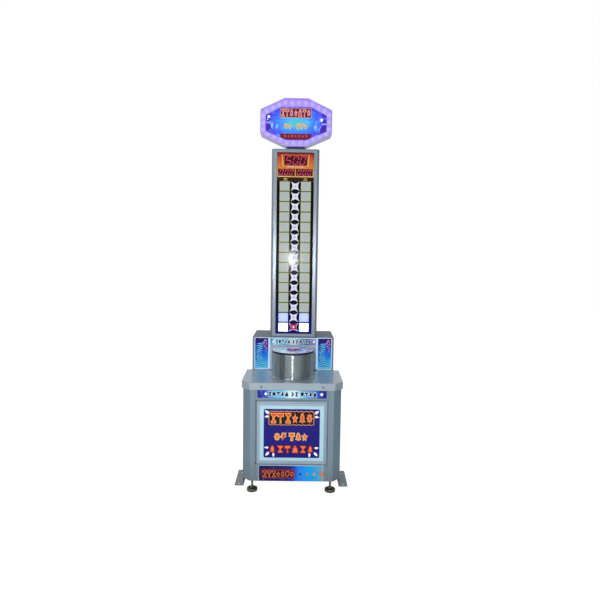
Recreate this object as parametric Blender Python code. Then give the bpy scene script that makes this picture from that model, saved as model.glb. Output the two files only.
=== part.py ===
"""Hammer strength tester: a base cabinet with a sprung strike pad on a steel drum, a light tower and a sign.

Metres, +Z up, +X to the player's right, -Y towards the player. The origin is on the floor, midway between
the front of the deck cap and the back of the rear cabinet. Run it from Blender's text editor or with
blender --background --python part.py.
"""

import math

import bmesh
import bpy
from mathutils import Vector

# Overall frame of the machine. Depths are measured back from FRONT, the front edge of the deck cap.
DEPTH = 0.7067
FRONT = -DEPTH / 2
SHEET = 0.002
GAP = 0.0005

# Base cabinet and deck cap.
BODY_HALF = 0.301
BODY_INSET = 0.008
BODY_CHAMFER = 0.047
BODY_LOW = 0.079
BASE_DEPTH = 0.3725
BASE_FLANGE = 0.273
CAP_HALF = 0.310
CAP_CHAMFER = 0.051
CAP_LIP = 0.044
DECK_TOP = 0.691
DECK_SHEET = 0.003

# Front light-box door, between the stiles of the side panels.
DOOR_LEFT = -0.2155
DOOR_RIGHT = 0.2175
DOOR_LOW = 0.186
DOOR_HIGH = 0.582
DOOR_FACE = 0.006
DOOR_RETURN = 0.012
BEZEL_HALF = 0.209
BEZEL_LOW = 0.193
BEZEL_HIGH = 0.575
LIGHT_HALF = 0.1935
LIGHT_LOW = 0.2095
LIGHT_HIGH = 0.5515
ART_HALF = 0.170
ART_LOW = 0.2295
ART_HIGH = 0.5315
HINGE_X = -0.2185
HINGE_DEPTH = 0.0055
LOCK_Z = 0.1985

# Drum and strike pad.
DRUM_DEPTH = 0.197
DRUM_INNER = 0.131
DRUM_OUTER = 0.1325
DRUM_TOP = 0.8465
PAD_RADIUS = 0.1295
PAD_TOP = 0.8605
PAD_FACE = 0.003
CUSHION = 0.030
PLATE = 0.006
SHAFT_RADIUS = 0.010
SHAFT_LOW = 0.600
TRAVEL = 0.025

# Rear cabinet behind the deck.
REAR_HALF = 0.274
REAR_FRONT = 0.3733
REAR_BACK = 0.702
REAR_TOP = 0.913
REAR_HINGE_X = -0.249
REAR_HINGE_DEPTH = 0.7035
REAR_DOOR_LOW = 0.200
REAR_DOOR_HIGH = 0.906

# Tower and sign.
TOWER_FRONT = 0.400
TOWER_BACK = 0.640
TOWER_HALF = 0.1575
TOWER_FACE_HALF = 0.145
TOWER_LOW = REAR_TOP + GAP
TOWER_HIGH = 2.1605
WINDOW_HALF = 0.1225
WINDOW_LOW = 0.933
WINDOW_HIGH = 2.1425
SCORE_LOW = 1.981
SIGN_FRONT = 0.463
SIGN_BACK = 0.552
SIGN_OUTLINE = [(0.080, 2.512), (0.241, 2.4365), (0.241, 2.2740), (0.066, 2.195)]
SIGN_WINDOW = [(0.0985, 2.4550), (0.2045, 2.400), (0.2045, 2.296), (0.067, 2.238)]
SIGN_ROUND = 0.017
SIGN_WINDOW_ROUND = 0.004
SIGN_WALL = 0.004

# Feet and floor brackets.
FOOT_RADIUS = 0.033
FOOT_X = 0.242
FOOT_FRONT = 0.050
REAR_FOOT_X = 0.235
REAR_FOOT = 0.660
BRACKET_OUT = 0.3595
BRACKET_FRONT = 0.110
BRACKET_BACK = 0.340
BRACKET_SHEET = 0.004
BRACKET_TALL = 0.125


def clear_scene():
    for obj in list(bpy.data.objects):
        bpy.data.objects.remove(obj, do_unlink=True)


def deep(distance):
    """World Y of a depth measured back from the front of the deck cap."""
    return FRONT + distance


def material(name, color, roughness, metallic=0.0, glow=0.0):
    mat = bpy.data.materials.new(name)
    mat.use_nodes = True
    shader = mat.node_tree.nodes["Principled BSDF"]
    shader.inputs["Base Color"].default_value = (*color, 1.0)
    shader.inputs["Roughness"].default_value = roughness
    shader.inputs["Metallic"].default_value = metallic
    shader.inputs["Emission Color"].default_value = (*color, 1.0)
    shader.inputs["Emission Strength"].default_value = glow
    return mat


def add_object(name, bm, mat, smooth=False):
    """Makes the node from a bmesh, whose vertices are in world space."""
    bmesh.ops.recalc_face_normals(bm, faces=bm.faces)
    mesh = bpy.data.meshes.new(name)
    bm.to_mesh(mesh)
    bm.free()
    obj = bpy.data.objects.new(name, mesh)
    bpy.context.scene.collection.objects.link(obj)
    mesh.materials.append(mat)
    if smooth:
        mesh.shade_smooth()
        mesh.set_sharp_from_angle(angle=math.radians(35))
    return obj


def helper(obj):
    """Marks an object as a cutter or as a shape that is joined into a node."""
    obj.hide_render = True
    obj.display_type = "WIRE"
    return obj


def boolean(obj, others, operation):
    for other in others:
        helper(other)
        modifier = obj.modifiers.new(f"{operation.lower()}_{other.name}", "BOOLEAN")
        modifier.operation = operation
        modifier.solver = "EXACT"
        modifier.object = other
    return obj


def cut(obj, *cutters):
    return boolean(obj, cutters, "DIFFERENCE")


def join(obj, *shapes):
    return boolean(obj, shapes, "UNION")


def along(axis, u, v, w):
    """A point whose third coordinate runs along axis: (u, v) is (x, y), (x, z) or (y, z)."""
    return {"Z": (u, v, w), "Y": (u, w, v), "X": (w, u, v)}[axis]


def plate(name, mat, outline, axis, low, high):
    """Extrudes a closed outline from low to high along axis."""
    bm = bmesh.new()
    loops = [[bm.verts.new(along(axis, u, v, w)) for u, v in outline] for w in (low, high)]
    for loop in loops:
        bm.faces.new(loop)
    for i in range(len(outline)):
        j = (i + 1) % len(outline)
        bm.faces.new([loops[0][i], loops[0][j], loops[1][j], loops[1][i]])
    return add_object(name, bm, mat)


def block(name, mat, x, y, z):
    """A rectangular block from three (low, high) pairs."""
    outline = [(x[0], y[0]), (x[1], y[0]), (x[1], y[1]), (x[0], y[1])]
    return plate(name, mat, outline, "Z", z[0], z[1])


def ring_loft(name, mat, loops, caps=False):
    """Joins loops of as many points each in turn: into a closed ring, or into a cup with two end caps."""
    bm = bmesh.new()
    rows = [[bm.verts.new(point) for point in loop] for loop in loops]
    pairs = list(zip(rows, rows[1:]))
    if caps:
        bm.faces.new(rows[0])
        bm.faces.new(rows[-1])
    else:
        pairs.append((rows[-1], rows[0]))
    for first, second in pairs:
        for i in range(len(first)):
            j = (i + 1) % len(first)
            bm.faces.new([first[i], first[j], second[j], second[i]])
    return add_object(name, bm, mat)


def lathe(name, mat, profile, centre, axis="Z", segments=32):
    """Turns (radius, height) points about axis. A profile that starts and ends at radius 0 is solid."""
    bm = bmesh.new()
    rows = []
    for radius, height in profile:
        if radius == 0:
            rows.append([bm.verts.new(along(axis, centre[0], centre[1], height))])
            continue
        row = []
        for step in range(segments):
            angle = 2 * math.pi * step / segments
            u = centre[0] + radius * math.cos(angle)
            v = centre[1] + radius * math.sin(angle)
            row.append(bm.verts.new(along(axis, u, v, height)))
        rows.append(row)
    closed = profile[0][0] != 0
    pairs = list(zip(rows, rows[1:])) + ([(rows[-1], rows[0])] if closed else [])
    for first, second in pairs:
        for i in range(segments):
            j = (i + 1) % segments
            corners = [
                first[i % len(first)],
                first[j % len(first)],
                second[j % len(second)],
                second[i % len(second)],
            ]
            bm.faces.new(list(dict.fromkeys(corners)))
    return add_object(name, bm, mat, smooth=True)


def rod(name, mat, centre, radius, low, high, axis="Z", segments=24):
    return lathe(name, mat, [(0, low), (radius, low), (radius, high), (0, high)], centre, axis, segments)


def tube(name, mat, points, radius, sides):
    """A round wire along points, with closed ends."""
    bm = bmesh.new()
    rows = []
    for index, point in enumerate(points):
        before = points[max(index - 1, 0)]
        after = points[min(index + 1, len(points) - 1)]
        run = [b - a for a, b in zip(before, after)]
        length = math.sqrt(sum(part * part for part in run))
        run = [part / length for part in run]
        flat = math.hypot(run[0], run[1])
        side = (run[1] / flat, -run[0] / flat, 0)
        up = (-side[1] * run[2], side[0] * run[2], side[1] * run[0] - side[0] * run[1])
        row = []
        for step in range(sides):
            angle = 2 * math.pi * step / sides
            c, s = radius * math.cos(angle), radius * math.sin(angle)
            row.append(bm.verts.new([point[k] + c * side[k] + s * up[k] for k in range(3)]))
        rows.append(row)
    for first, second in zip(rows, rows[1:]):
        for i in range(sides):
            j = (i + 1) % sides
            bm.faces.new([first[i], first[j], second[j], second[i]])
    bm.faces.new(rows[0])
    bm.faces.new(rows[-1])
    return add_object(name, bm, mat, smooth=True)


def sheet_outline(points, thickness):
    """The outline of a bent sheet: the given outer line, and the line inside it, to the left of its run."""
    inner = []
    for index, point in enumerate(points):
        normals = []
        for start, end in ((index - 1, index), (index, index + 1)):
            if start >= 0 and end < len(points):
                run = (points[end][0] - points[start][0], points[end][1] - points[start][1])
                length = math.hypot(*run)
                normals.append((-run[1] / length, run[0] / length))
        total = [sum(normal[k] for normal in normals) for k in range(2)]
        scale = thickness * 2 / (total[0] ** 2 + total[1] ** 2) if len(normals) == 2 else thickness
        inner.append((point[0] + total[0] * scale, point[1] + total[1] * scale))
    return list(points) + inner[::-1]


def rectangle(half, low, high):
    return [(-half, low), (half, low), (half, high), (-half, high)]


def mirrored(outline):
    return [(-u, v) for u, v in outline]


def front_sheet(name, mat, x, z, near, far):
    """A flat sheet that faces the player, between depths near and far."""
    return block(name, mat, x, (deep(near), deep(far)), z)


def arc(centre, radius, start, end, steps):
    """Points on an arc, with its angles in degrees."""
    points = []
    for step in range(steps + 1):
        angle = math.radians(start + (end - start) * step / steps)
        points.append((centre[0] + radius * math.cos(angle), centre[1] + radius * math.sin(angle)))
    return points


def make_materials():
    return {
        "body_paint": material("body_paint", (0.30, 0.37, 0.45), 0.38, 0.55),
        "frame_paint": material("frame_paint", (0.42, 0.49, 0.60), 0.34, 0.55),
        "dark_steel": material("dark_steel", (0.05, 0.05, 0.055), 0.45, 0.8),
        "bare_steel": material("bare_steel", (0.50, 0.53, 0.55), 0.30, 1.0),
        "stainless": material("stainless", (0.56, 0.57, 0.57), 0.22, 1.0),
        "black_rubber": material("black_rubber", (0.015, 0.018, 0.04), 0.65),
        "pad_face": material("pad_face", (0.80, 0.80, 0.95), 0.25),
        "lit_acrylic": material("lit_acrylic", (0.45, 0.68, 0.80), 0.30, 0.0, 0.3),
        "blue_print": material("blue_print", (0.01, 0.25, 0.78), 0.25),
        "navy_print": material("navy_print", (0.02, 0.015, 0.25), 0.25),
        "display_print": material("display_print", (0.02, 0.02, 0.03), 0.15),
        "score_print": material("score_print", (0.85, 0.22, 0.03), 0.25),
        "sign_glow": material("sign_glow", (0.50, 0.38, 0.95), 0.35, 0.0, 0.8),
        "sign_print": material("sign_print", (0.03, 0.30, 0.90), 0.25, 0.0, 0.3),
        "bronze": material("bronze", (0.45, 0.30, 0.13), 0.35, 1.0),
        "circuit_board": material("circuit_board", (0.02, 0.20, 0.08), 0.50),
        "black_plastic": material("black_plastic", (0.02, 0.02, 0.02), 0.40),
    }


def base_panels(mats):
    """The folded side panels, from front stile to rear flange, and the rails between them."""
    for side, stile in (("left", 0.2215), ("right", 0.2195)):
        line = [
            (stile, deep(BODY_INSET)),
            (BODY_HALF - BODY_CHAMFER, deep(BODY_INSET)),
            (BODY_HALF, deep(BODY_INSET + BODY_CHAMFER)),
            (BODY_HALF, deep(BASE_DEPTH)),
            (BASE_FLANGE, deep(BASE_DEPTH)),
        ]
        outline = sheet_outline(line, SHEET)
        outline = mirrored(outline) if side == "left" else outline
        plate(
            f"base_side_{side}",
            mats["body_paint"],
            outline,
            "Z",
            BODY_LOW + GAP,
            DECK_TOP - DECK_SHEET - GAP,
        )
    rail_x = (-0.2210, 0.2190)
    low_rail = block(
        "base_lower_rail",
        mats["body_paint"],
        rail_x,
        (deep(BODY_INSET), deep(BODY_INSET + SHEET)),
        (BODY_LOW + GAP, DOOR_LOW - 0.002),
    )
    fold = block(
        "lower_rail_fold",
        mats["body_paint"],
        rail_x,
        (deep(BODY_INSET + 0.001), deep(0.024)),
        (DOOR_LOW - 0.004, DOOR_LOW - 0.002),
    )
    join(low_rail, fold)
    block(
        "base_upper_rail",
        mats["body_paint"],
        rail_x,
        (deep(BODY_INSET), deep(BODY_INSET + SHEET)),
        (DOOR_HIGH + 0.002, DECK_TOP - DECK_SHEET - GAP),
    )
    strip_far = BODY_INSET - GAP
    front_sheet(
        "upper_strip",
        mats["blue_print"],
        (-0.2105, 0.2085),
        (0.5975, 0.6455),
        strip_far - 0.0015,
        strip_far,
    )
    front_sheet(
        "kick_strip", mats["blue_print"], (-0.1970, 0.1930), (BODY_LOW + 0.0015, 0.1765), strip_far - 0.0015, strip_far
    )


def floor_pan(mats):
    """One plate under the base and rear cabinets, drilled for the four levelling stems."""
    wide = BODY_HALF - SHEET - GAP
    narrow = REAR_HALF - SHEET - GAP
    corner = BODY_CHAMFER + 0.0016
    right = [
        (wide - corner, deep(0.0125)),
        (wide, deep(0.0125) + corner),
        (wide, deep(BASE_DEPTH - SHEET - GAP)),
        (narrow, deep(BASE_DEPTH - SHEET - GAP)),
        (narrow, deep(REAR_BACK - SHEET - GAP)),
    ]
    outline = right + mirrored(right)[::-1]
    pan = plate("base_floor_pan", mats["body_paint"], outline, "Z", BODY_LOW, BODY_LOW + 0.003)
    holes = [
        rod(f"stem_hole_{i}", mats["body_paint"], at, 0.0068, 0.07, 0.09)
        for i, at in enumerate(foot_places())
    ]
    cut(pan, *holes)


def foot_places():
    front, rear = deep(FOOT_FRONT), deep(REAR_FOOT)
    return [(-FOOT_X, front), (FOOT_X, front), (-REAR_FOOT_X, rear), (REAR_FOOT_X, rear)]


def levelling_feet(mats):
    profile = [
        (0, 0),
        (FOOT_RADIUS - 0.002, 0),
        (FOOT_RADIUS, 0.002),
        (FOOT_RADIUS, 0.0165),
        (0.0275, 0.0205),
        (0.012, 0.0235),
        (0.010, 0.0275),
        (0.006, 0.0285),
        (0.006, 0.120),
        (0, 0.120),
    ]
    names = ("front_left", "front_right", "rear_left", "rear_right")
    for name, at in zip(names, foot_places()):
        foot = lathe(f"level_foot_{name}", mats["dark_steel"], profile, at, segments=28)
        join(foot, rod(f"lock_nut_{name}", mats["dark_steel"], at, 0.0108, 0.068, 0.0782, segments=6))


def floor_brackets(mats):
    """Angles that hold the cabinet down: two anchor holes in the foot, two bolt holes in the upright leg."""
    inside = BODY_HALF + GAP
    for side, sign in (("left", -1), ("right", 1)):
        line = [(inside, BRACKET_TALL), (inside, 0), (BRACKET_OUT, 0)]
        outline = sheet_outline(line, BRACKET_SHEET)
        outline = [(sign * u, v) for u, v in outline]
        bracket = plate(
            f"floor_bracket_{side}",
            mats["bare_steel"],
            outline,
            "Y",
            deep(BRACKET_FRONT),
            deep(BRACKET_BACK),
        )
        holes = []
        for end, depth in (("front", BRACKET_FRONT + 0.028), ("rear", BRACKET_BACK - 0.045)):
            at = (sign * (BRACKET_OUT - 0.026), deep(depth))
            holes.append(
                rod(f"anchor_{side}_{end}", mats["bare_steel"], at, 0.0065, -0.01, 0.02, segments=16)
            )
            across = sorted((sign * (inside - 0.01), sign * (inside + 0.02)))
            at = (deep(depth), 0.103)
            holes.append(
                rod(f"bolt_{side}_{end}", mats["bare_steel"], at, 0.0045, *across, axis="X", segments=12)
            )
        cut(bracket, *holes)


def deck_cap(mats):
    """The folded cap: a flat deck with chamfered front corners and a lip down its front and sides."""
    def outline(inset):
        half = CAP_HALF - inset
        slope = inset * 0.43
        return [
            (-half, deep(BASE_DEPTH)),
            (-half, deep(CAP_CHAMFER + slope)),
            (-half + CAP_CHAMFER - slope, deep(inset)),
            (half - CAP_CHAMFER + slope, deep(inset)),
            (half, deep(CAP_CHAMFER + slope)),
            (half, deep(BASE_DEPTH)),
        ]

    cap = plate("deck_cap", mats["body_paint"], outline(0), "Z", DECK_TOP - CAP_LIP, DECK_TOP)
    hollow = outline(DECK_SHEET)
    hollow[0] = (hollow[0][0], deep(BASE_DEPTH + 0.01))
    hollow[-1] = (hollow[-1][0], deep(BASE_DEPTH + 0.01))
    under = plate(
        "cap_hollow", mats["body_paint"], hollow, "Z", DECK_TOP - CAP_LIP - 0.01, DECK_TOP - DECK_SHEET
    )
    shaft_hole = rod(
        "deck_hole", mats["body_paint"], (0, deep(DRUM_DEPTH)), 0.024, DECK_TOP - 0.01, DECK_TOP + 0.01
    )
    cut(cap, under, shaft_hole)


def front_door(mats):
    """The light-box door: folded pan, LED board, stepped bezel, lit acrylic, print, hinge and cam lock."""
    x = (DOOR_LEFT, DOOR_RIGHT)
    pan = front_sheet(
        "front_door_pan", mats["body_paint"], x, (DOOR_LOW, DOOR_HIGH), DOOR_FACE, DOOR_FACE + DOOR_RETURN
    )
    hollow = front_sheet(
        "pan_hollow",
        mats["body_paint"],
        (DOOR_LEFT + SHEET, DOOR_RIGHT - SHEET),
        (DOOR_LOW + SHEET, DOOR_HIGH - SHEET),
        DOOR_FACE + SHEET,
        DOOR_FACE + DOOR_RETURN + 0.01,
    )
    lock_at = (0, LOCK_Z)
    cut(
        pan, hollow, rod("pan_lock_hole", mats["body_paint"], lock_at, 0.0078, deep(-0.01), deep(0.05), "Y")
    )
    front_sheet("door_led_board", mats["circuit_board"], (-0.205, 0.205), (0.2140, 0.5720), 0.0095, 0.0165)

    def bezel_loop(half, low, high, depth):
        return [(u, deep(depth), v) for u, v in rectangle(half, low, high)]

    step = 0.006
    bezel = ring_loft(
        "front_door_bezel",
        mats["body_paint"],
        [
            bezel_loop(BEZEL_HALF, BEZEL_LOW, BEZEL_HIGH, DOOR_FACE - GAP),
            bezel_loop(BEZEL_HALF, BEZEL_LOW, BEZEL_HIGH, 0.0035),
            bezel_loop(BEZEL_HALF - step, BEZEL_LOW + step, BEZEL_HIGH - step, 0.0010),
            bezel_loop(LIGHT_HALF + 0.001, LIGHT_LOW - 0.001, LIGHT_HIGH + 0.001, 0.0010),
            bezel_loop(LIGHT_HALF + 0.001, LIGHT_LOW - 0.001, LIGHT_HIGH + 0.001, DOOR_FACE - GAP),
        ],
    )
    cut(bezel, rod("bezel_lock_hole", mats["body_paint"], lock_at, 0.0078, deep(-0.01), deep(0.05), "Y"))
    front_sheet(
        "door_light_panel",
        mats["lit_acrylic"],
        (-LIGHT_HALF, LIGHT_HALF),
        (LIGHT_LOW, LIGHT_HIGH),
        0.0035,
        0.0055,
    )
    radius = 0.010
    corners = [
        ((ART_HALF - radius, ART_LOW + radius), -90),
        ((ART_HALF - radius, ART_HIGH - radius), 0),
        ((-ART_HALF + radius, ART_HIGH - radius), 90),
        ((-ART_HALF + radius, ART_LOW + radius), 180),
    ]
    outline = [point for centre, start in corners for point in arc(centre, radius, start, start + 90, 4)]
    plate("door_art_panel", mats["navy_print"], outline, "Y", deep(0.0015), deep(0.0030))

    barrel = [(0, deep(0.0002)), (0.0085, deep(0.0002)), (0.0085, deep(0.0008)), (0.0072, deep(0.0008))]
    barrel += [(0.0072, deep(0.0252)), (0, deep(0.0252))]
    lathe("door_lock_barrel", mats["bare_steel"], barrel, lock_at, "Y", 24)
    cam_z = (LOCK_Z - 0.008, LOCK_Z + 0.008)
    front_sheet("door_lock_cam", mats["bare_steel"], (-0.008, 0.034), cam_z, 0.0255, 0.0275)
    door_hinge(mats)


def door_hinge(mats):
    """A full-height hinge at the door's left edge: three fixed knuckles on the pin, two moving ones."""
    axis = (HINGE_X, deep(HINGE_DEPTH))
    low, high = DOOR_LOW + 0.010, DOOR_HIGH - 0.010
    pitch = (high - low) / 5
    fixed = block(
        "door_hinge_fixed_leaf",
        mats["bare_steel"],
        (-0.245, -0.2190),
        (deep(0.0105), deep(0.0120)),
        (low, high),
    )
    shapes = [rod("hinge_pin", mats["bare_steel"], axis, 0.0011, low + 0.001, high - 0.001, segments=12)]
    moving = block(
        "door_hinge_moving_leaf",
        mats["bare_steel"],
        (-0.2176, -0.2160),
        (deep(0.0095), deep(0.0175)),
        (low, high),
    )
    rings = []
    for knuckle in range(5):
        z = (low + pitch * knuckle + 0.0005, low + pitch * (knuckle + 1) - 0.0005)
        if knuckle % 2 == 0:
            shapes.append(
                rod(f"fixed_knuckle_{knuckle}", mats["bare_steel"], axis, 0.0024, *z, segments=12)
            )
            shapes.append(
                block(
                    f"fixed_web_{knuckle}",
                    mats["bare_steel"],
                    (-0.2205, -0.2190),
                    (deep(0.006), deep(0.0118)),
                    z,
                )
            )
        else:
            ring = [(0.0014, z[0]), (0.0024, z[0]), (0.0024, z[1]), (0.0014, z[1])]
            rings.append(lathe(f"moving_knuckle_{knuckle}", mats["bare_steel"], ring, axis, segments=16))
            rings.append(
                block(
                    f"moving_web_{knuckle}",
                    mats["bare_steel"],
                    (-0.2174, -0.2160),
                    (deep(0.0066), deep(0.011)),
                    z,
                )
            )
    join(fixed, *shapes)
    join(moving, *rings)


def strike_mechanism(mats):
    """The drum on the deck and the sprung pad in it, which is guided by a bush in a bridge under the deck."""
    at = (0, deep(DRUM_DEPTH))
    foot = DECK_TOP + GAP
    sleeve = [
        (DRUM_INNER, foot),
        (DRUM_OUTER + 0.005, foot),
        (DRUM_OUTER + 0.005, foot + 0.003),
        (DRUM_OUTER + 0.001, foot + 0.005),
        (DRUM_OUTER, foot + 0.008),
        (DRUM_OUTER, DRUM_TOP),
        (DRUM_INNER, DRUM_TOP),
    ]
    lathe("drum_sleeve", mats["stainless"], sleeve, at, segments=64)
    face_low = PAD_TOP - PAD_FACE
    face = [
        (0, face_low),
        (PAD_RADIUS, face_low),
        (PAD_RADIUS, face_low + 0.0015),
        (PAD_RADIUS - 0.0015, PAD_TOP),
        (0, PAD_TOP),
    ]
    lathe("pad_top", mats["pad_face"], face, at, segments=64)
    high = face_low - GAP
    low = high - CUSHION
    cushion = [
        (0, low), (PAD_RADIUS - 0.002, low), (PAD_RADIUS, low + 0.002), (PAD_RADIUS, high), (0, high)
    ]
    lathe("pad_cushion", mats["black_rubber"], cushion, at, segments=64)
    plate_high = low - GAP
    plate_low = plate_high - PLATE
    backing = [(0, plate_low), (0.126, plate_low), (0.126, plate_high), (0, plate_high)]
    lathe("pad_plate", mats["bare_steel"], backing, at, segments=48)

    shaft_high = plate_low - GAP
    stop_z = 0.7385
    shaft = [
        (0, SHAFT_LOW),
        (0.016, SHAFT_LOW),
        (0.016, SHAFT_LOW + 0.006),
        (SHAFT_RADIUS, SHAFT_LOW + 0.006),
        (SHAFT_RADIUS, stop_z),
        (0.020, stop_z),
        (0.020, stop_z + 0.006),
        (SHAFT_RADIUS, stop_z + 0.006),
        (SHAFT_RADIUS, shaft_high - 0.006),
        (0.022, shaft_high - 0.004),
        (0.022, shaft_high),
        (0, shaft_high),
    ]
    plunger = lathe("plunger_shaft", mats["bare_steel"], shaft, at, segments=32)
    vane = block(
        "sensor_vane", mats["bare_steel"], (0, 0.050), (at[1] - 0.001, at[1] + 0.001), (0.5985, 0.6035)
    )
    join(plunger, vane)

    bridge_top = DECK_TOP - DECK_SHEET - GAP
    line = [
        (at[1] + 0.050, 0.655),
        (at[1] + 0.050, bridge_top),
        (at[1] - 0.050, bridge_top),
        (at[1] - 0.050, 0.655),
    ]
    bridge = plate("mech_bridge", mats["body_paint"], sheet_outline(line, 0.004), "X", -0.285, 0.285)
    cut(bridge, rod("bush_hole", mats["body_paint"], at, 0.0165, 0.67, 0.70))
    bush = [
        (0.0103, 0.645),
        (0.016, 0.645),
        (0.016, bridge_top + 0.0003),
        (0.0225, bridge_top + 0.0003),
        (0.0225, bridge_top + 0.005),
        (0.0103, bridge_top + 0.005),
    ]
    lathe("guide_bush", mats["bronze"], bush, at, segments=32)
    stop_low = bridge_top + 0.0055
    stop = [
        (0.0108, stop_low),
        (0.0215, stop_low),
        (0.0215, stop_z - TRAVEL - GAP),
        (0.0108, stop_z - TRAVEL - GAP),
    ]
    lathe("bump_stop", mats["black_rubber"], stop, at, segments=32)

    turns, per_turn, wire = 6, 14, 0.0028
    bottom, top = foot + wire, plate_low - GAP - wire
    coil = []
    for step in range(turns * per_turn + 1):
        angle = 2 * math.pi * step / per_turn
        height = bottom + (top - bottom) * step / (turns * per_turn)
        coil.append((at[0] + 0.031 * math.cos(angle), at[1] + 0.031 * math.sin(angle), height))
    tube("return_spring", mats["bare_steel"], coil, wire, 6)

    sensor = block(
        "hit_sensor", mats["black_plastic"], (0.030, 0.062), (at[1] - 0.012, at[1] + 0.012), (0.560, 0.618)
    )
    slot = block(
        "sensor_slot", mats["black_plastic"], (0.020, 0.054), (at[1] - 0.005, at[1] + 0.005), (0.566, 0.640)
    )
    hanger = block(
        "sensor_hanger",
        mats["black_plastic"],
        (0.058, 0.062),
        (at[1] - 0.012, at[1] + 0.012),
        (0.61, 0.682),
    )
    cut(sensor, slot)
    join(sensor, hanger)


def rear_cabinet(mats):
    back = REAR_BACK - SHEET
    floor_top = BODY_LOW + 0.003 + GAP
    top_low = REAR_TOP - SHEET
    for side, sign, flange in (("left", -1, 0.2520), ("right", 1, 0.2485)):
        line = [(REAR_HALF, deep(REAR_FRONT)), (REAR_HALF, deep(REAR_BACK)), (flange, deep(REAR_BACK))]
        outline = [(sign * u, v) for u, v in sheet_outline(line, SHEET)]
        plate(f"rear_side_{side}", mats["body_paint"], outline, "Z", BODY_LOW + GAP, top_low - GAP)
    inside = REAR_HALF - SHEET - GAP
    front_sheet(
        "rear_front_panel",
        mats["body_paint"],
        (-inside, inside),
        (floor_top, top_low - GAP),
        REAR_FRONT,
        REAR_FRONT + SHEET,
    )
    block(
        "rear_top",
        mats["body_paint"],
        (-REAR_HALF, REAR_HALF),
        (deep(REAR_FRONT), deep(REAR_BACK)),
        (top_low, REAR_TOP),
    )
    art_far = REAR_FRONT - GAP
    for side, x in (("left", (-0.2565, -0.1680)), ("right", (0.1680, 0.2565))):
        front_sheet(
            f"shoulder_art_{side}", mats["blue_print"], x, (0.6985, 0.9065), art_far - 0.0015, art_far
        )
    front_sheet("centre_panel", mats["frame_paint"], (-0.1645, 0.1645), (0.6975, 0.9105), 0.3640, art_far)
    front_sheet("centre_strip", mats["blue_print"], (-0.1525, 0.1525), (0.8630, 0.9045), 0.3620, 0.3635)

    lower = block(
        "rear_lower_panel",
        mats["body_paint"],
        (-0.2510, 0.2475),
        (deep(back), deep(REAR_BACK)),
        (floor_top, 0.196),
    )
    inlet_hole = block(
        "inlet_hole", mats["body_paint"], (-0.0250, 0.0050), (deep(0.69), deep(0.72)), (0.1280, 0.1520)
    )
    switch_hole = block(
        "switch_hole", mats["body_paint"], (0.0580, 0.0820), (deep(0.69), deep(0.72)), (0.1310, 0.1490)
    )
    cut(lower, inlet_hole, switch_hole)
    mains_inlet(mats)
    rear_door(mats)

    board = block(
        "control_board", mats["circuit_board"], (-0.13, 0.11), (deep(0.3835), deep(0.3855)), (0.34, 0.52)
    )
    chips = []
    for index, (x, z, wide, tall, deepness) in enumerate(
        [
            (-0.10, 0.47, 0.05, 0.03, 0.020),
            (0.02, 0.47, 0.06, 0.02, 0.012),
            (-0.09, 0.38, 0.04, 0.04, 0.008),
            (0.05, 0.37, 0.03, 0.05, 0.030),
        ]
    ):
        y = (deep(0.3845), deep(0.3855 + deepness))
        chips.append(block(f"chip_{index}", mats["circuit_board"], (x, x + wide), y, (z, z + tall)))
    join(board, *chips)
    block(
        "power_supply",
        mats["bare_steel"],
        (0.08, 0.20),
        (deep(0.45), deep(0.62)),
        (floor_top, floor_top + 0.05),
    )


def mains_inlet(mats):
    """An inlet socket with its three pins, and a rocker switch that tilts about the X axis."""
    inlet = block(
        "power_inlet",
        mats["black_plastic"],
        (-0.0245, 0.0045),
        (deep(0.680), deep(0.7025)),
        (0.1285, 0.1515),
    )
    flange = block(
        "inlet_flange",
        mats["black_plastic"],
        (-0.0300, 0.0100),
        (deep(REAR_BACK + GAP), deep(0.7045)),
        (0.1240, 0.1560),
    )
    socket = block(
        "inlet_socket",
        mats["black_plastic"],
        (-0.0220, 0.0020),
        (deep(0.688), deep(0.72)),
        (0.1320, 0.1480),
    )
    join(inlet, flange)
    cut(inlet, socket)
    pins = []
    for index, (x, z) in enumerate([(-0.017, 0.139), (-0.010, 0.142), (-0.003, 0.139)]):
        pins.append(
            block(
                f"inlet_pin_{index}",
                mats["bare_steel"],
                (x - 0.001, x + 0.001),
                (deep(0.687), deep(0.699)),
                (z - 0.002, z + 0.002),
            ),
        )
    join(inlet, *pins)
    pivot = (deep(REAR_BACK), 0.140)
    tilt = math.radians(9)
    shape = [(-0.004, -0.0070), (0.0035, -0.0080), (0.0020, 0.0), (0.0035, 0.0080), (-0.004, 0.0070)]
    outline = []
    for y, z in shape:
        turned = (y * math.cos(tilt) - z * math.sin(tilt), y * math.sin(tilt) + z * math.cos(tilt))
        outline.append((pivot[0] + turned[0], pivot[1] + turned[1]))
    rocker = plate("power_rocker", mats["black_plastic"], outline, "X", 0.0600, 0.0800)
    move_origin(rocker, (0.070, pivot[0], pivot[1]))


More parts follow.
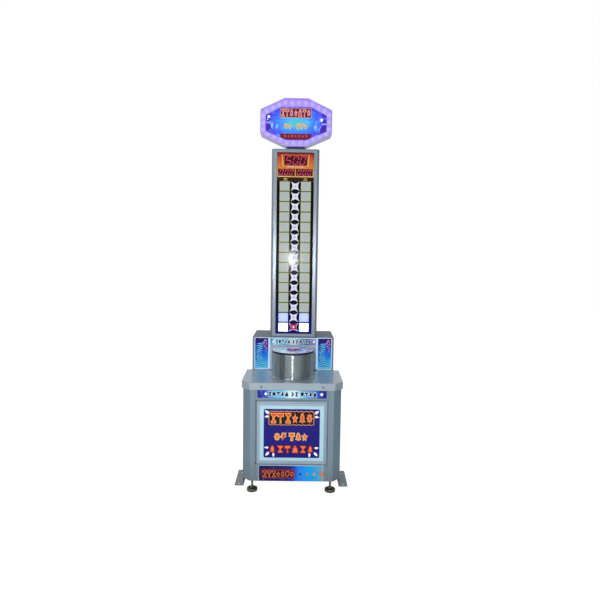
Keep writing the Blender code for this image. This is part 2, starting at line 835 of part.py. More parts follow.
def rear_door(mats):
    """A flat service door with two banks of vent slots, hinged at its left edge and held by a cam lock."""
    axis = (REAR_HINGE_X, deep(REAR_HINGE_DEPTH))
    sheet = (deep(REAR_BACK - SHEET), deep(REAR_BACK))
    door = block("rear_door", mats["body_paint"], (-0.2455, 0.2465), sheet, (REAR_DOOR_LOW, REAR_DOOR_HIGH))
    slots = []
    for bank, base in enumerate((0.280, 0.760)):
        for row in range(5):
            z = base + row * 0.018
            slots.append(
                block(
                    f"vent_{bank}_{row}",
                    mats["body_paint"],
                    (-0.070, 0.070),
                    (deep(0.69), deep(0.72)),
                    (z, z + 0.006),
                ),
            )
    lock_at = (0.232, 0.555)
    slots.append(rod("rear_lock_hole", mats["body_paint"], lock_at, 0.0088, deep(0.69), deep(0.72), "Y"))
    cut(door, *slots)
    low, high = REAR_DOOR_LOW + 0.060, REAR_DOOR_HIGH - 0.060
    pitch = (high - low) / 5
    fixed = block(
        "rear_hinge_leaf",
        mats["bare_steel"],
        (-0.2700, -0.2500),
        (deep(REAR_BACK + GAP), deep(0.7040)),
        (low, high),
    )
    shapes = []
    notches = []
    rings = []
    for knuckle in range(5):
        z = (low + pitch * knuckle + 0.0005, low + pitch * (knuckle + 1) - 0.0005)
        if knuckle % 2 == 0:
            shapes.append(
                rod(f"rear_fixed_knuckle_{knuckle}", mats["bare_steel"], axis, 0.0026, *z, segments=12)
            )
        else:
            wide = (z[0] - GAP, z[1] + GAP)
            notches.append(
                block(
                    f"leaf_notch_{knuckle}",
                    mats["bare_steel"],
                    (-0.2522, -0.2450),
                    (deep(0.700), deep(0.708)),
                    wide,
                ),
            )
            ring = [(0.0015, z[0]), (0.0026, z[0]), (0.0026, z[1]), (0.0015, z[1])]
            rings.append(lathe(f"rear_ring_{knuckle}", mats["bare_steel"], ring, axis, segments=16))
            wing = (deep(REAR_BACK - 0.001), deep(0.7040))
            rings.append(block(f"rear_wing_{knuckle}", mats["bare_steel"], (-0.2472, -0.2250), wing, z))
    cut(fixed, *notches)
    shapes.append(
        rod("rear_hinge_pin", mats["bare_steel"], axis, 0.0012, low + 0.001, high - 0.001, segments=12)
    )
    join(fixed, *shapes)
    join(door, *rings)
    lock = [(0, deep(0.6965)), (0.0082, deep(0.6965)), (0.0082, deep(0.7026)), (0.0110, deep(0.7026))]
    lock += [(0.0110, deep(0.7055)), (0, deep(0.7055))]
    barrel = lathe("rear_door_lock", mats["bare_steel"], lock, lock_at, "Y", 24)
    cam = block(
        "rear_cam", mats["bare_steel"], (0.224, 0.240), (deep(0.6945), deep(0.6970)), (0.547, 0.590)
    )
    join(barrel, cam)


def move_origin(obj, origin):
    """Puts an object's origin on its joint's axis and leaves its shape in place."""
    for vertex in obj.data.vertices:
        vertex.co = [vertex.co[k] - origin[k] for k in range(3)]
    obj.location = origin


def tower(mats):
    """The light tower: a chamfered front frame on a folded shell, with the display, score and LED boards."""
    def loop(half, low, high, depth):
        return [(u, deep(depth), v) for u, v in rectangle(half, low, high)]

    frame_back = TOWER_FRONT + 0.024
    ring_loft(
        "tower_frame",
        mats["frame_paint"],
        [
            loop(TOWER_FACE_HALF, TOWER_LOW, TOWER_HIGH, TOWER_FRONT),
            loop(TOWER_HALF, TOWER_LOW, TOWER_HIGH, TOWER_FRONT + 0.014),
            loop(TOWER_HALF, TOWER_LOW, TOWER_HIGH, frame_back),
            loop(WINDOW_HALF, WINDOW_LOW, WINDOW_HIGH, frame_back),
            loop(WINDOW_HALF, WINDOW_LOW, WINDOW_HIGH, TOWER_FRONT),
        ],
    )
    line = [
        (TOWER_HALF, deep(frame_back + GAP)),
        (TOWER_HALF, deep(TOWER_BACK)),
        (-TOWER_HALF, deep(TOWER_BACK)),
        (-TOWER_HALF, deep(frame_back + GAP)),
    ]
    plate("tower_shell", mats["body_paint"], sheet_outline(line, SHEET), "Z", TOWER_LOW, TOWER_HIGH)
    cap = [
        (TOWER_FACE_HALF, deep(TOWER_FRONT)),
        (TOWER_HALF, deep(TOWER_FRONT + 0.014)),
        (TOWER_HALF, deep(TOWER_BACK)),
    ]
    plate(
        "tower_cap",
        mats["frame_paint"],
        cap + mirrored(cap)[::-1],
        "Z",
        TOWER_HIGH + GAP,
        TOWER_HIGH + 0.0035,
    )
    half = WINDOW_HALF - 0.001
    near, far = TOWER_FRONT + 0.0045, TOWER_FRONT + 0.0085
    front_sheet(
        "display_panel",
        mats["display_print"],
        (-half, half),
        (WINDOW_LOW + 0.001, SCORE_LOW - GAP),
        near,
        far,
    )
    front_sheet(
        "score_panel", mats["score_print"], (-half, half), (SCORE_LOW, WINDOW_HIGH - 0.001), near, far
    )
    front_sheet(
        "display_board",
        mats["circuit_board"],
        (-0.118, 0.118),
        (WINDOW_LOW + 0.005, WINDOW_HIGH - 0.005),
        far + 0.003,
        far + 0.010,
    )


def octagon(corners, inset=0.0):
    """The sign's eight corners from those of its right half, moved in by inset."""
    middle = (corners[0][1] + corners[-1][1]) / 2
    right = [(x - inset, z - inset * math.copysign(1, z - middle)) for x, z in corners]
    return right + mirrored(right)[::-1]


def softened(outline, radius, steps=4):
    """The outline with an arc of this radius at every corner."""
    points = []
    for index, point in enumerate(outline):
        corner = Vector(point)
        back = (Vector(outline[index - 1]) - corner).normalized()
        ahead = (Vector(outline[(index + 1) % len(outline)]) - corner).normalized()
        half = back.angle(ahead) / 2
        centre = corner + (back + ahead).normalized() * radius / math.sin(half)
        start = corner + back * radius / math.tan(half) - centre
        turn = math.copysign(math.pi - 2 * half, back.cross(ahead))
        for step in range(steps + 1):
            angle = math.atan2(start.y, start.x) - turn * step / steps
            points.append((centre.x + radius * math.cos(angle), centre.y + radius * math.sin(angle)))
    return points


def sign(mats):
    """The eight-sided sign: neck, back shell, lit border set in the shell's wall, and printed face."""
    def outer(inset, depth):
        return [(u, deep(depth), v) for u, v in softened(octagon(SIGN_OUTLINE, inset), SIGN_ROUND)]

    def window(depth):
        return [(u, deep(depth), v) for u, v in softened(octagon(SIGN_WINDOW), SIGN_WINDOW_ROUND)]

    top = TOWER_HIGH + 0.0035 + GAP
    block("sign_neck", mats["navy_print"], (-0.062, 0.062), (deep(0.475), deep(0.545)), (top, 2.1945))
    border_back = SIGN_FRONT + 0.014
    border_edge = SIGN_WALL + GAP
    ring_loft(
        "sign_border",
        mats["sign_glow"],
        [
            outer(border_edge, border_back),
            outer(border_edge, SIGN_FRONT + 0.003),
            outer(border_edge + 0.002, SIGN_FRONT),
            window(SIGN_FRONT),
            window(border_back),
        ],
    )
    ring_loft(
        "sign_shell",
        mats["frame_paint"],
        [
            outer(0.006, SIGN_BACK),
            outer(0.0, SIGN_BACK - 0.006),
            outer(0.0, SIGN_FRONT + 0.001),
            outer(SIGN_WALL, SIGN_FRONT + 0.001),
            outer(SIGN_WALL, SIGN_BACK - 0.006),
            outer(0.009, SIGN_BACK - 0.003),
        ],
        caps=True,
    )
    outline = softened(octagon(SIGN_WINDOW, 0.0008), SIGN_WINDOW_ROUND)
    plate("sign_face", mats["sign_print"], outline, "Y", deep(SIGN_FRONT + 0.004), deep(SIGN_FRONT + 0.008))


def main():
    clear_scene()
    mats = make_materials()
    base_panels(mats)
    floor_pan(mats)
    levelling_feet(mats)
    floor_brackets(mats)
    deck_cap(mats)
    front_door(mats)
    strike_mechanism(mats)
    rear_cabinet(mats)
    tower(mats)
    sign(mats)


main()
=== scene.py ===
"""The looks of the hammer strength tester, in metres: +Z is up and the player stands at -Y."""

import math
import random
from functools import partial
from types import SimpleNamespace

import bmesh
import bpy
from mathutils import Matrix, Vector


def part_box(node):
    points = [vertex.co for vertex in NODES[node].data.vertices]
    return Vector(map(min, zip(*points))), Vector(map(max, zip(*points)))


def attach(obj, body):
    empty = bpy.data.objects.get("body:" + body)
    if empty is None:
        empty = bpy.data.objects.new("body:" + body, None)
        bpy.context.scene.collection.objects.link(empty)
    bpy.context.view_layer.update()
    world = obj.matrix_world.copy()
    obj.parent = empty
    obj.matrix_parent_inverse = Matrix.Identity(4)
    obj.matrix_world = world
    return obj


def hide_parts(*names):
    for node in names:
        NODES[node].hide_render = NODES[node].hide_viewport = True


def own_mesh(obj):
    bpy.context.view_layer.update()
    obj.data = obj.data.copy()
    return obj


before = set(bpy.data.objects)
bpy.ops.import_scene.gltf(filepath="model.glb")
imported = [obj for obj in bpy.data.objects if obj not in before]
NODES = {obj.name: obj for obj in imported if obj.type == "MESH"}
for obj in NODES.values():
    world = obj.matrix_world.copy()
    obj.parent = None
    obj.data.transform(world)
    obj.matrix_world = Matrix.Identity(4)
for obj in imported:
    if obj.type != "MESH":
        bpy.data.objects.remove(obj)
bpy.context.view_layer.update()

# The camera stands in front of the machine at eye height, turned and rolled very slightly.
CAMERA_AT = (0.019, -3.2307, 1.4106)
CAMERA_LENS = 29.157
CAMERA_PITCH = 0.0752
CAMERA_TURN = 0.007
CAMERA_ROLL = 0.0142

# A printed layer's thickness, and the air behind it.
FILM = 0.0003
PROUD = 0.0001


# ---- materials


class Nodes:
    """A node tree, with short ways to add nodes. An input takes a value, or an output to link."""

    def __init__(self, tree):
        self.tree = tree

    def feed(self, socket, value):
        if isinstance(value, bpy.types.NodeSocket):
            self.tree.links.new(value, socket)
        else:
            socket.default_value = (*value, 1) if socket.type == "RGBA" else value

    def add(self, kind, inputs=None, **attributes):
        node = self.tree.nodes.new("ShaderNode" + kind)
        for name, value in attributes.items():
            setattr(node, name, value)
        for key, value in (inputs or {}).items():
            self.feed(node.inputs[key], value)
        return node

    def place(self, centre=(0, 0, 0), scale=(1, 1, 1)):
        """Coordinates fixed to the piece: (point - centre) * scale."""
        coords = self.add("TexCoord").outputs["Object"]
        shift = self.add("VectorMath", {0: coords, 1: centre}, operation="SUBTRACT").outputs[0]
        return self.add("VectorMath", {0: shift, 1: scale}, operation="MULTIPLY").outputs[0]

    def noise(self, scale, detail=4, at=None, rough=0.55, distortion=0):
        values = {"Scale": scale, "Detail": detail, "Roughness": rough, "Distortion": distortion}
        return self.add("TexNoise", {"Vector": at or self.place(), **values}).outputs["Fac"]

    def ramp(self, factor, stops):
        """Colours along a factor. Each stop is a position, red, green and blue."""
        node = self.add("ValToRGB", {"Fac": factor})
        elements = node.color_ramp.elements
        while len(elements) < len(stops):
            elements.new(0.5)
        for element, (position, *color) in zip(elements, stops):
            element.position = position
            element.color = (*color, 1)
        return node.outputs["Color"]

    def levels(self, factor, low, high, out_low=0, out_high=1):
        values = {"From Min": low, "From Max": high, "To Min": out_low, "To Max": out_high}
        return self.add("MapRange", {"Value": factor, **values}).outputs["Result"]

    def mix(self, factor, first, second):
        inputs = {0: factor, 6: first, 7: second}
        return self.add("Mix", inputs, data_type="RGBA", clamp_factor=True).outputs[2]

    def math(self, operation, first, second=0):
        return self.add("Math", {0: first, 1: second}, operation=operation).outputs[0]

    def axis(self, vector, letter):
        return self.add("SeparateXYZ", {"Vector": vector}).outputs[letter]

    def along(self, letter, low, high, at=None):
        """How far a point lies from low to high along an axis, as 0 to 1."""
        return self.levels(self.axis(at or self.place(), letter), low, high)

    def waver(self, run, pattern, reach):
        """A run made uneven by a pattern, by up to this much either way."""
        return self.math("ADD", run, self.levels(pattern, 0.3, 0.7, -reach, reach))

    def over(self, base, color, pattern, low, high, most):
        """The base, mixed with a colour by up to most where the pattern rises from low to high."""
        return self.mix(self.levels(pattern, low, high, 0, most), base, color)


class Paint(Nodes):
    """A Principled material, and short ways to vary it."""

    def __init__(self, name, color, roughness, metallic=0, **sockets):
        self.mat = bpy.data.materials.new(name)
        self.mat.use_nodes = True
        super().__init__(self.mat.node_tree)
        self.shader = self.tree.nodes["Principled BSDF"]
        self.color(color)
        self.use("Roughness", roughness)
        self.use("Metallic", metallic)
        for socket, value in sockets.items():
            self.use(socket.replace("_", " "), value)

    def use(self, socket, value):
        self.feed(self.shader.inputs[socket], value)

    def color(self, value):
        self.use("Base Color", value)

    def rough(self, pattern, low, high):
        """Roughness between two values, following a pattern."""
        self.use("Roughness", self.levels(pattern, 0.3, 0.7, low, high))

    def bump(self, height, strength, distance):
        inputs = {"Height": height, "Strength": strength, "Distance": distance}
        self.use("Normal", self.add("Bump", inputs).outputs["Normal"])

    def glow(self, strength):
        """Light of the paint's own colour, which has to be linked already."""
        if strength:
            self.use("Emission Color", self.shader.inputs["Base Color"].links[0].from_socket)
            self.use("Emission Strength", strength)


def shade(color, factor):
    return tuple(min(channel * factor, 1) for channel in color)


def painted_metal(name, color, roughness, metallic, greyed_low=True, peel=0.06, smears=0.065):
    """Satin metallic lacquer: fine flake, orange peel, soft clouding, and darker and greyer near
    the floor.
    """
    paint = Paint(name, color, roughness, metallic)
    base = paint.mix(paint.noise(2.6, 3), shade(color, 0.93), shade(color, 1.07))
    base = paint.over(base, shade(color, 1.45), paint.noise(1400, 1), 0.35, 0.75, 0.35)
    if greyed_low:
        # Darker and greyer in uneven patches over the lowest 22 cm.
        low_grey_patches = paint.math("MULTIPLY", paint.along("Z", 0.22, 0.05), paint.noise(9, 5))
        base = paint.mix(low_grey_patches, base, (0.19, 0.2, 0.2))
    paint.color(base)
    paint.rough(paint.noise(5.5, 6, rough=0.7), roughness - smears, roughness + smears)
    paint.bump(paint.noise(420, 2), peel, 0.0004)
    return paint.mat


def brushed_metal(name, color, roughness, stretch, metallic=1, strength=0.12, clouds=0.12):
    """Metal with fine lines: stretch is small along the lines and large across them."""
    paint = Paint(name, color, roughness, metallic)
    lines = paint.noise(1, 6, at=paint.place(scale=stretch), rough=0.7)
    base = paint.mix(lines, shade(color, 0.8), shade(color, 1.15))
    paint.color(paint.over(base, shade(color, 0.55), paint.noise(7), 0.35, 0.7, clouds))
    paint.rough(lines, roughness - 0.06, roughness + 0.1)
    paint.bump(lines, strength, 0.0003)
    return paint.mat


def moulded_rubber(name, color):
    paint = Paint(name, color, 0.55)
    paint.color(paint.over(color, shade(color, 2.6), paint.noise(26, 6, rough=0.7), 0.45, 0.8, 0.5))
    paint.rough(paint.noise(60), 0.42, 0.68)
    paint.bump(paint.noise(900, 3), 0.25, 0.0004)
    return paint.mat


def moulded_plastic(name, color):
    paint = Paint(name, color, 0.4)
    paint.color(paint.mix(paint.noise(12), shade(color, 0.85), shade(color, 1.25)))
    paint.rough(paint.noise(30), 0.34, 0.5)
    paint.bump(paint.noise(700, 2), 0.12, 0.0003)
    return paint.mat


def printed(name, color, glow=0, roughness=0.24, gloss=0.22):
    """One ink of a printed film: slight density changes, a dot screen and a clear gloss coat."""
    paint = Paint(name, color, roughness, Specular_IOR_Level=gloss)
    base = paint.mix(paint.noise(34, 3), shade(color, 0.84), shade(color, 1.16))
    paint.color(paint.over(base, shade(color, 0.7), paint.noise(1500, 0), 0.4, 0.7, 0.18))
    paint.rough(paint.noise(18), roughness - 0.05, roughness + 0.06)
    paint.glow(glow)
    return paint.mat


def ink_set(prefix, **rows):
    """Printed inks by name. A row is red, green and blue, then any glow, roughness and gloss."""
    made = {name: printed(f"{prefix}_{name}", row[:3], *row[3:]) for name, row in rows.items()}
    return SimpleNamespace(**made)


def gradient_ink(name, low, high, colors, glow):
    """An ink that changes evenly from its lower colour to its upper one."""
    paint = Paint(name, colors[0], 0.24, Specular_IOR_Level=0.22)
    run = paint.waver(paint.along("Z", low, high), paint.noise(40, 3), 0.15)
    paint.color(paint.ramp(run, [(0, *colors[0]), (1, *colors[1])]))
    paint.glow(glow)
    return paint.mat


def tall_print(name, node, stops, glow=0):
    """A printed panel whose colours run from its foot to its top, through soft clouds."""
    low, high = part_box(node)
    paint = Paint(name, stops[0][1:], 0.22, Specular_IOR_Level=0.25)
    at = paint.place()
    clouds = paint.noise(26, 3, at, distortion=1.2)
    run = paint.waver(paint.along("Z", low.z, high.z, at), clouds, 0.07)
    paint.color(paint.ramp(run, stops))
    paint.rough(paint.noise(20), 0.16, 0.3)
    paint.glow(glow)
    return paint.mat


def run_print(name, node, stops, glow, fleck=(0.45, 0.85, 1)):
    """A printed strip whose colours run from its left end to its right, under a clear film."""
    low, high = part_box(node)
    paint = Paint(name, stops[0][1:], 0.22, Specular_IOR_Level=0.25)
    at = paint.place()
    clouds = paint.noise(14, 4, at, distortion=0.8)
    run = paint.waver(paint.along("X", low.x, high.x, at), clouds, 0.04)
    paint.color(paint.over(paint.ramp(run, stops), fleck, paint.noise(45, 4, at), 0.56, 0.8, 0.3))
    paint.rough(paint.noise(20), 0.16, 0.3)
    paint.glow(glow)
    return paint.mat


def lit_panel(name, color, strength, patch=0.1):
    """A back-lit translucent sheet, a little brighter over its lamps."""
    paint = Paint(name, color, 0.28, Coat_Weight=0.4, Coat_Roughness=0.1)
    paint.color(paint.mix(paint.noise(11, 2), shade(color, 1 - patch), shade(color, 1 + patch)))
    paint.bump(paint.noise(260, 2), 0.03, 0.0003)
    paint.glow(strength)
    return paint.mat


def circuit(name):
    """A green board with paler tracks."""
    paint = Paint(name, (0.02, 0.16, 0.07), 0.42)
    colors = {"Color1": (0.02, 0.16, 0.07), "Color2": (0.03, 0.22, 0.1), "Mortar": (0.1, 0.3, 0.12)}
    tracks = paint.add("TexBrick", {"Vector": paint.place(scale=(60, 60, 60)), **colors}).outputs
    paint.color(tracks["Color"])
    paint.bump(tracks["Fac"], 0.2, 0.0003)
    return paint.mat


def give(mat, *names):
    """Gives CAD nodes their finish."""
    for name in names:
        materials = NODES[name].data.materials
        for index in range(len(materials)):
            materials[index] = mat
        if not len(materials):
            materials.append(mat)


# ---- shapes


def soften(width, *names):
    """Rounds the edges of CAD nodes with modifiers, and leaves their meshes alone."""
    for name in names:
        weld = NODES[name].modifiers.new("weld", "WELD")
        weld.merge_threshold = 0.00001
        bevel = NODES[name].modifiers.new("bevel", "BEVEL")
        bevel.width = width
        bevel.segments = 3
        bevel.limit_method = "ANGLE"
        bevel.angle_limit = math.radians(30)
        bevel.harden_normals = True


def linked(name, data):
    obj = bpy.data.objects.new(name, data)
    bpy.context.scene.collection.objects.link(obj)
    return obj


def meshed(name, bm, mat):
    mesh = bpy.data.meshes.new(name)
    bm.to_mesh(mesh)
    bm.free()
    mesh.materials.append(mat)
    return linked(name, mesh)


def piece(name, bm, mat, body, smooth=None):
    """Links a finished mesh, gives it its material and lets it ride on its body."""
    bmesh.ops.recalc_face_normals(bm, faces=bm.faces)
    obj = meshed(name, bm, mat)
    if smooth is not None:
        obj.data.shade_smooth()
        obj.data.set_sharp_from_angle(angle=math.radians(smooth))
    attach(obj, body)
    return obj


def skin(bm, rows, closed=False):
    """Faces between rows of vertices, and from last to first if closed. A tip is a row of one."""
    for first, second in zip(rows, rows[1:] + rows[:1] if closed else rows[1:]):
        steps = max(len(first), len(second))
        for i in range(steps):
            j = (i + 1) % steps
            near = [first[i % len(first)], first[j % len(first)]]
            far = [second[j % len(second)], second[i % len(second)]]
            bm.faces.new(list(dict.fromkeys(near + far)))


def prism(bm, outline, to_world, low, high):
    """Adds a closed outline, given as (u, v) points, extruded between low and high."""
    loops = [[bm.verts.new(to_world(u, v, w)) for u, v in outline] for w in (low, high)]
    for loop in loops:
        bm.faces.new(loop)
    skin(bm, loops)


def facing(u, v, w):
    """Outline on a wall that faces the player: (x, z) at depth y."""
    return (u, w, v)


def decal(wall, name, outlines, mat, layer=0):
    """Flat printed shapes on a wall given as (y, body, unused slot), on top of this many other
    layers.
    """
    front, body, slot = wall
    surface = front - layer * FILM
    bm = bmesh.new()
    for outline in outlines:
        prism(bm, outline, facing, surface - FILM, surface - PROUD)
    return piece(name, bm, mat, body)


def outset(low, high, side=0, foot=None, top=None):
    """The corners of a box's front, moved out by side, or by foot and top where these differ."""
    foot, top = side if foot is None else foot, side if top is None else top
    left, right, bottom, upper = low.x - side, high.x + side, low.z - foot, high.z + top
    return [(left, bottom), (right, bottom), (right, upper), (left, upper)]


def framed(name, frames, mat, body, slot):
    """A piece of flat frames, each an outer and an inner outline between a near and a far depth."""
    bm = bmesh.new()
    for outer, inner, near, far in frames:
        edges = ((outer, near), (outer, far), (inner, far), (inner, near))
        rows = [[bm.verts.new((u, depth, v)) for u, v in outline] for outline, depth in edges]
        skin(bm, rows, True)
    return piece(name, bm, mat, body)


def polar(radius, angle, x=0, z=0):
    return (x + radius * math.cos(angle), z + radius * math.sin(angle))


def moved(outline, x, z, scale=1, turn=0, slant=0):
    c, s = math.cos(turn), math.sin(turn)
    points = []
    for u, v in outline:
        u += slant * v
        points.append((x + scale * (c * u - s * v), z + scale * (s * u + c * v)))
    return points


def star(points, inner=0.45, radius=1):
    reaches = (radius, radius * inner)
    return [polar(reaches[k % 2], math.pi / 2 + math.pi * k / points) for k in range(points * 2)]


def disc(radius=1, steps=20):
    return [polar(radius, 2 * math.pi * k / steps) for k in range(steps)]


def rounded(wide, tall, radius, steps):
    """A rectangle with round corners, centred."""
    outline = []
    for sx, sz, start in ((1, -1, -90), (1, 1, 0), (-1, 1, 90), (-1, -1, 180)):
        x, z = sx * (wide / 2 - radius), sz * (tall / 2 - radius)
        for step in range(steps + 1):
            outline.append(polar(radius, math.radians(start + 90 * step / steps), x, z))
    return outline


def crescent(x, z, radius, width, start, end, steps=16):
    """A curved stroke with pointed ends, along an arc between two angles in degrees."""
    outside, inside = [], []
    for step in range(steps + 1):
        share = step / steps
        angle = math.radians(start + (end - start) * share)
        outside.append(polar(radius, angle, x, z))
        if 0 < step < steps:
            inside.append(polar(radius - width * math.sin(math.pi * share), angle, x, z))
    return outside + inside[::-1]


def blob(x, z, wide, tall, seed, steps=18):
    """An irregular round splash of ink."""
    draw = random.Random(seed)
    waves = [(draw.uniform(0.05, 0.14), draw.uniform(0, 6.28), k) for k in (2, 3, 5)]
    outline = []
    for step in range(steps):
        angle = 2 * math.pi * step / steps
        reach = 1 + sum(size * math.sin(k * angle + start) for size, start, k in waves)
        u, v = polar(reach, angle)
        outline.append((x + wide / 2 * u, z + tall / 2 * v))
    return outline


def scalloped(x_low, x_high, z_low, z_high, bumps, depth):
    """A band whose long edges run in small points."""
    steps = 2 * bumps
    xs = [x_low + (x_high - x_low) * step / steps for step in range(steps + 1)]
    foot = [(x, z_low - depth * (step % 2)) for step, x in enumerate(xs)]
    top = [(x, z_high + depth * (step % 2)) for step, x in enumerate(xs)]
    return foot + top[::-1]


def pinched(side_dip, end_dip, steps=10):
    """A square with sharp corners whose four sides curve inwards."""
    corners = [(-1, -1), (1, -1), (1, 1), (-1, 1)]
    outline = []
    for (x, z), (u, v), dip in zip(corners, corners[1:] + corners[:1], (end_dip, side_dip) * 2):
        run, rise = u - x, v - z
        for k in range(steps):
            share, sag = k / steps, dip * math.sin(math.pi * k / steps) / 2
            outline.append((x + run * share - rise * sag, z + rise * share + run * sag))
    return outline


# Generic show icons, each drawn about two units across and two units tall.
MALLET = [(-1, 0.2), (-1, 1), (1, 1), (1, 0.2), (0.22, 0.2), (0.3, -1), (-0.3, -1), (-0.22, 0.2)]
ANVIL = [(-1.1, 0.9), (0.9, 0.9), (0.9, 0.4), (0.35, 0.1), (0.35, -0.3), (0.8, -0.6), (0.8, -1)]
ANVIL += [(-0.8, -1), (-0.8, -0.6), (-0.35, -0.3), (-0.35, 0.1), (-0.6, 0.35)]
BELL = [(-0.95, -0.7), (-0.6, -0.4), (-0.55, 0.4), (-0.2, 1), (0.2, 1), (0.55, 0.4), (0.6, -0.4)]
BELL += [(0.95, -0.7), (0.25, -0.7), (0, -1), (-0.25, -0.7)]
FLASH = [(-0.3, 1), (0.8, 1), (0.25, 0.2), (0.85, 0.2), (-0.5, -1), (-0.1, -0.1), (-0.8, -0.1)]
CHEVRON = [(-0.8, -1), (0.15, -1), (0.9, 0), (0.15, 1), (-0.8, 1), (-0.1, 0)]
SHIELD = [(-0.8, 0.8), (0, 1), (0.8, 0.8), (0.75, -0.3), (0, -1), (-0.75, -0.3)]
WEIGHT = [(-0.9, -1), (0.9, -1), (0.65, 0.45), (0.3, 0.55), (0.4, 1)]
WEIGHT += [(-0.4, 1), (-0.3, 0.55), (-0.65, 0.45)]
STAR = star(5)
BURST = star(8, 0.6)
LEAF = [(0, 0), (0.28, 0.35), (0.24, 0.75), (0, 1.15), (-0.24, 0.75), (-0.28, 0.35)]
BADGE = pinched(0.38, 0.42)


def fitted(outline, x, z, wide, tall):
    """An outline stretched to a box of this size around (x, z)."""
    us, vs = [u for u, v in outline], [v for u, v in outline]
    u_mid, v_mid = (max(us) + min(us)) / 2, (max(vs) + min(vs)) / 2
    u_scale, v_scale = wide / (max(us) - min(us)), tall / (max(vs) - min(vs))
    return [(x + (u - u_mid) * u_scale, z + (v - v_mid) * v_scale) for u, v in outline]


def icon_row(icons, x_low, x_high, z, tall, gap):
    """Icons side by side, all as wide, filling a row from end to end."""
    wide = (x_high - x_low - gap * (len(icons) - 1)) / len(icons)
    return [
        fitted(icon, x_low + wide / 2 + index * (wide + gap), z, wide, tall)
        for index, icon in enumerate(icons)
    ]


def grown(outline, amount):
    """An outline moved out by amount, or in if it is negative, with mitred corners."""
    ahead = outline[1:] + outline[:1]
    area = sum(a[0] * b[1] - b[0] * a[1] for a, b in zip(outline, ahead))
    sign = 1 if area > 0 else -1
    result = []
    for index, point in enumerate(outline):
        total = Vector((0, 0))
        for start in (index - 1, index):
            a, b = Vector(outline[start]), Vector(outline[(start + 1) % len(outline)])
            run = (b - a).normalized()
            total += Vector((run.y, -run.x)) * sign
        scale = min(2 / max(total.length_squared, 0.000001), 1.6)
        result.append((point[0] + total.x * scale * amount, point[1] + total.y * scale * amount))
    return result


def all_grown(outlines, amount):
    return [grown(outline, amount) for outline in outlines]


def lathe(bm, profile, centre, steps, along="Z"):
    """Adds a turned shape: solid if its profile starts and ends at radius 0, and a ring if not."""
    order = {"X": (2, 0, 1), "Y": (0, 2, 1), "Z": (0, 1, 2)}[along]
    rows = []
    for radius, height in profile:
        row = []
        for step in range(steps if radius else 1):
            spot = (*polar(radius, 2 * math.pi * step / steps), height)
            row.append(bm.verts.new([middle + spot[k] for middle, k in zip(centre, order)]))
        rows.append(row)
    skin(bm, rows, profile[0][0] > 0)


def turned(name, profile, centre, mat, body, steps, smooth=None):
    """A piece turned about a standing axis."""
    bm = bmesh.new()
    lathe(bm, profile, centre, steps)
    return piece(name, bm, mat, body, smooth)


def screw_heads(name, places, along, out, mat, radius=0.0045, tall=0.0022, hexed=False):
    """Pan or hex heads on a wall. Out is the sign of the wall's outer side along the axis."""
    hex_head = [(0, 0), (1, 0), (1, 0.8), (0.85, 1), (0, 1)]
    pan_head = [(0, 0), (1, 0), (0.9, 0.55), (0.55, 0.95), (0.3, 1), (0.26, 0.45), (0, 0.45)]
    rim, steps = (hex_head, 6) if hexed else (pan_head, 14)
    bm = bmesh.new()
    for place in places:
        lathe(bm, [(radius * r, out * tall * h) for r, h in rim], place, steps, along)
    return piece(name, bm, mat, "cabinet", smooth=35)


# ---- finishes and inks

body_paint = painted_metal("body_paint_lacquer", (0.225, 0.315, 0.38), 0.34, 0.4)
# Lighter than the body paint, partly as a painted highlight on the deck.
deck_paint_and_highlight = painted_metal("deck_paint_lacquer", (0.4, 0.48, 0.53), 0.32, 0.42, peel=0, smears=0.03)
# Lighter than the body paint, partly as a painted highlight on the bezel.
bezel_paint_and_highlight = painted_metal("bezel_paint_lacquer", (0.37, 0.47, 0.56), 0.36, 0.25, smears=0.03)
rear_paint = painted_metal("rear_paint_lacquer", (0.185, 0.225, 0.265), 0.56, 0.1, smears=0.03)
frame_paint = painted_metal(
    "frame_paint_lacquer", (0.29, 0.34, 0.39), 0.29, 0.5, greyed_low=False, peel=0.01, smears=0.004
)
centre_grey = painted_metal(
    "centre_panel_lacquer", (0.4, 0.45, 0.55), 0.3, 0.25, greyed_low=False, peel=0, smears=0.03
)
dark_blue_paint = painted_metal("sign_neck_paint", (0.025, 0.035, 0.11), 0.35, 0.3, greyed_low=False)
zinc = brushed_metal("zinc_plate", (0.46, 0.49, 0.5), 0.34, (90, 90, 90), strength=0.06, clouds=0.3)
bright_steel = brushed_metal("bright_steel", (0.58, 0.6, 0.61), 0.22, (300, 300, 30), strength=0.05)
bracket_steel = brushed_metal(
    "bracket_steel", (0.3, 0.34, 0.35), 0.45, (70, 70, 70), 0.6, strength=0.08, clouds=0.35
)
bronze = brushed_metal("bronze_turned", (0.45, 0.3, 0.13), 0.3, (30, 30, 700))
foot_plate = brushed_metal(
    "foot_plate", (0.25, 0.24, 0.19), 0.34, (60, 60, 60), 0.9, strength=0.05, clouds=0.4
)
rubber = moulded_rubber("navy_black_rubber", (0.01, 0.012, 0.035))
black_plastic = moulded_plastic("black_plastic_moulded", (0.02, 0.02, 0.022))
green_board = circuit("circuit_green")
lit_cyan = lit_panel("lit_cyan_acrylic", (0.4, 0.63, 0.74), 0.1)
lit_edge = lit_panel("lit_edge_acrylic", (0.5, 0.72, 0.86), 0.16)
lit_white = lit_panel("lit_white_acrylic", (0.86, 0.95, 1), 0.75, 0.04)

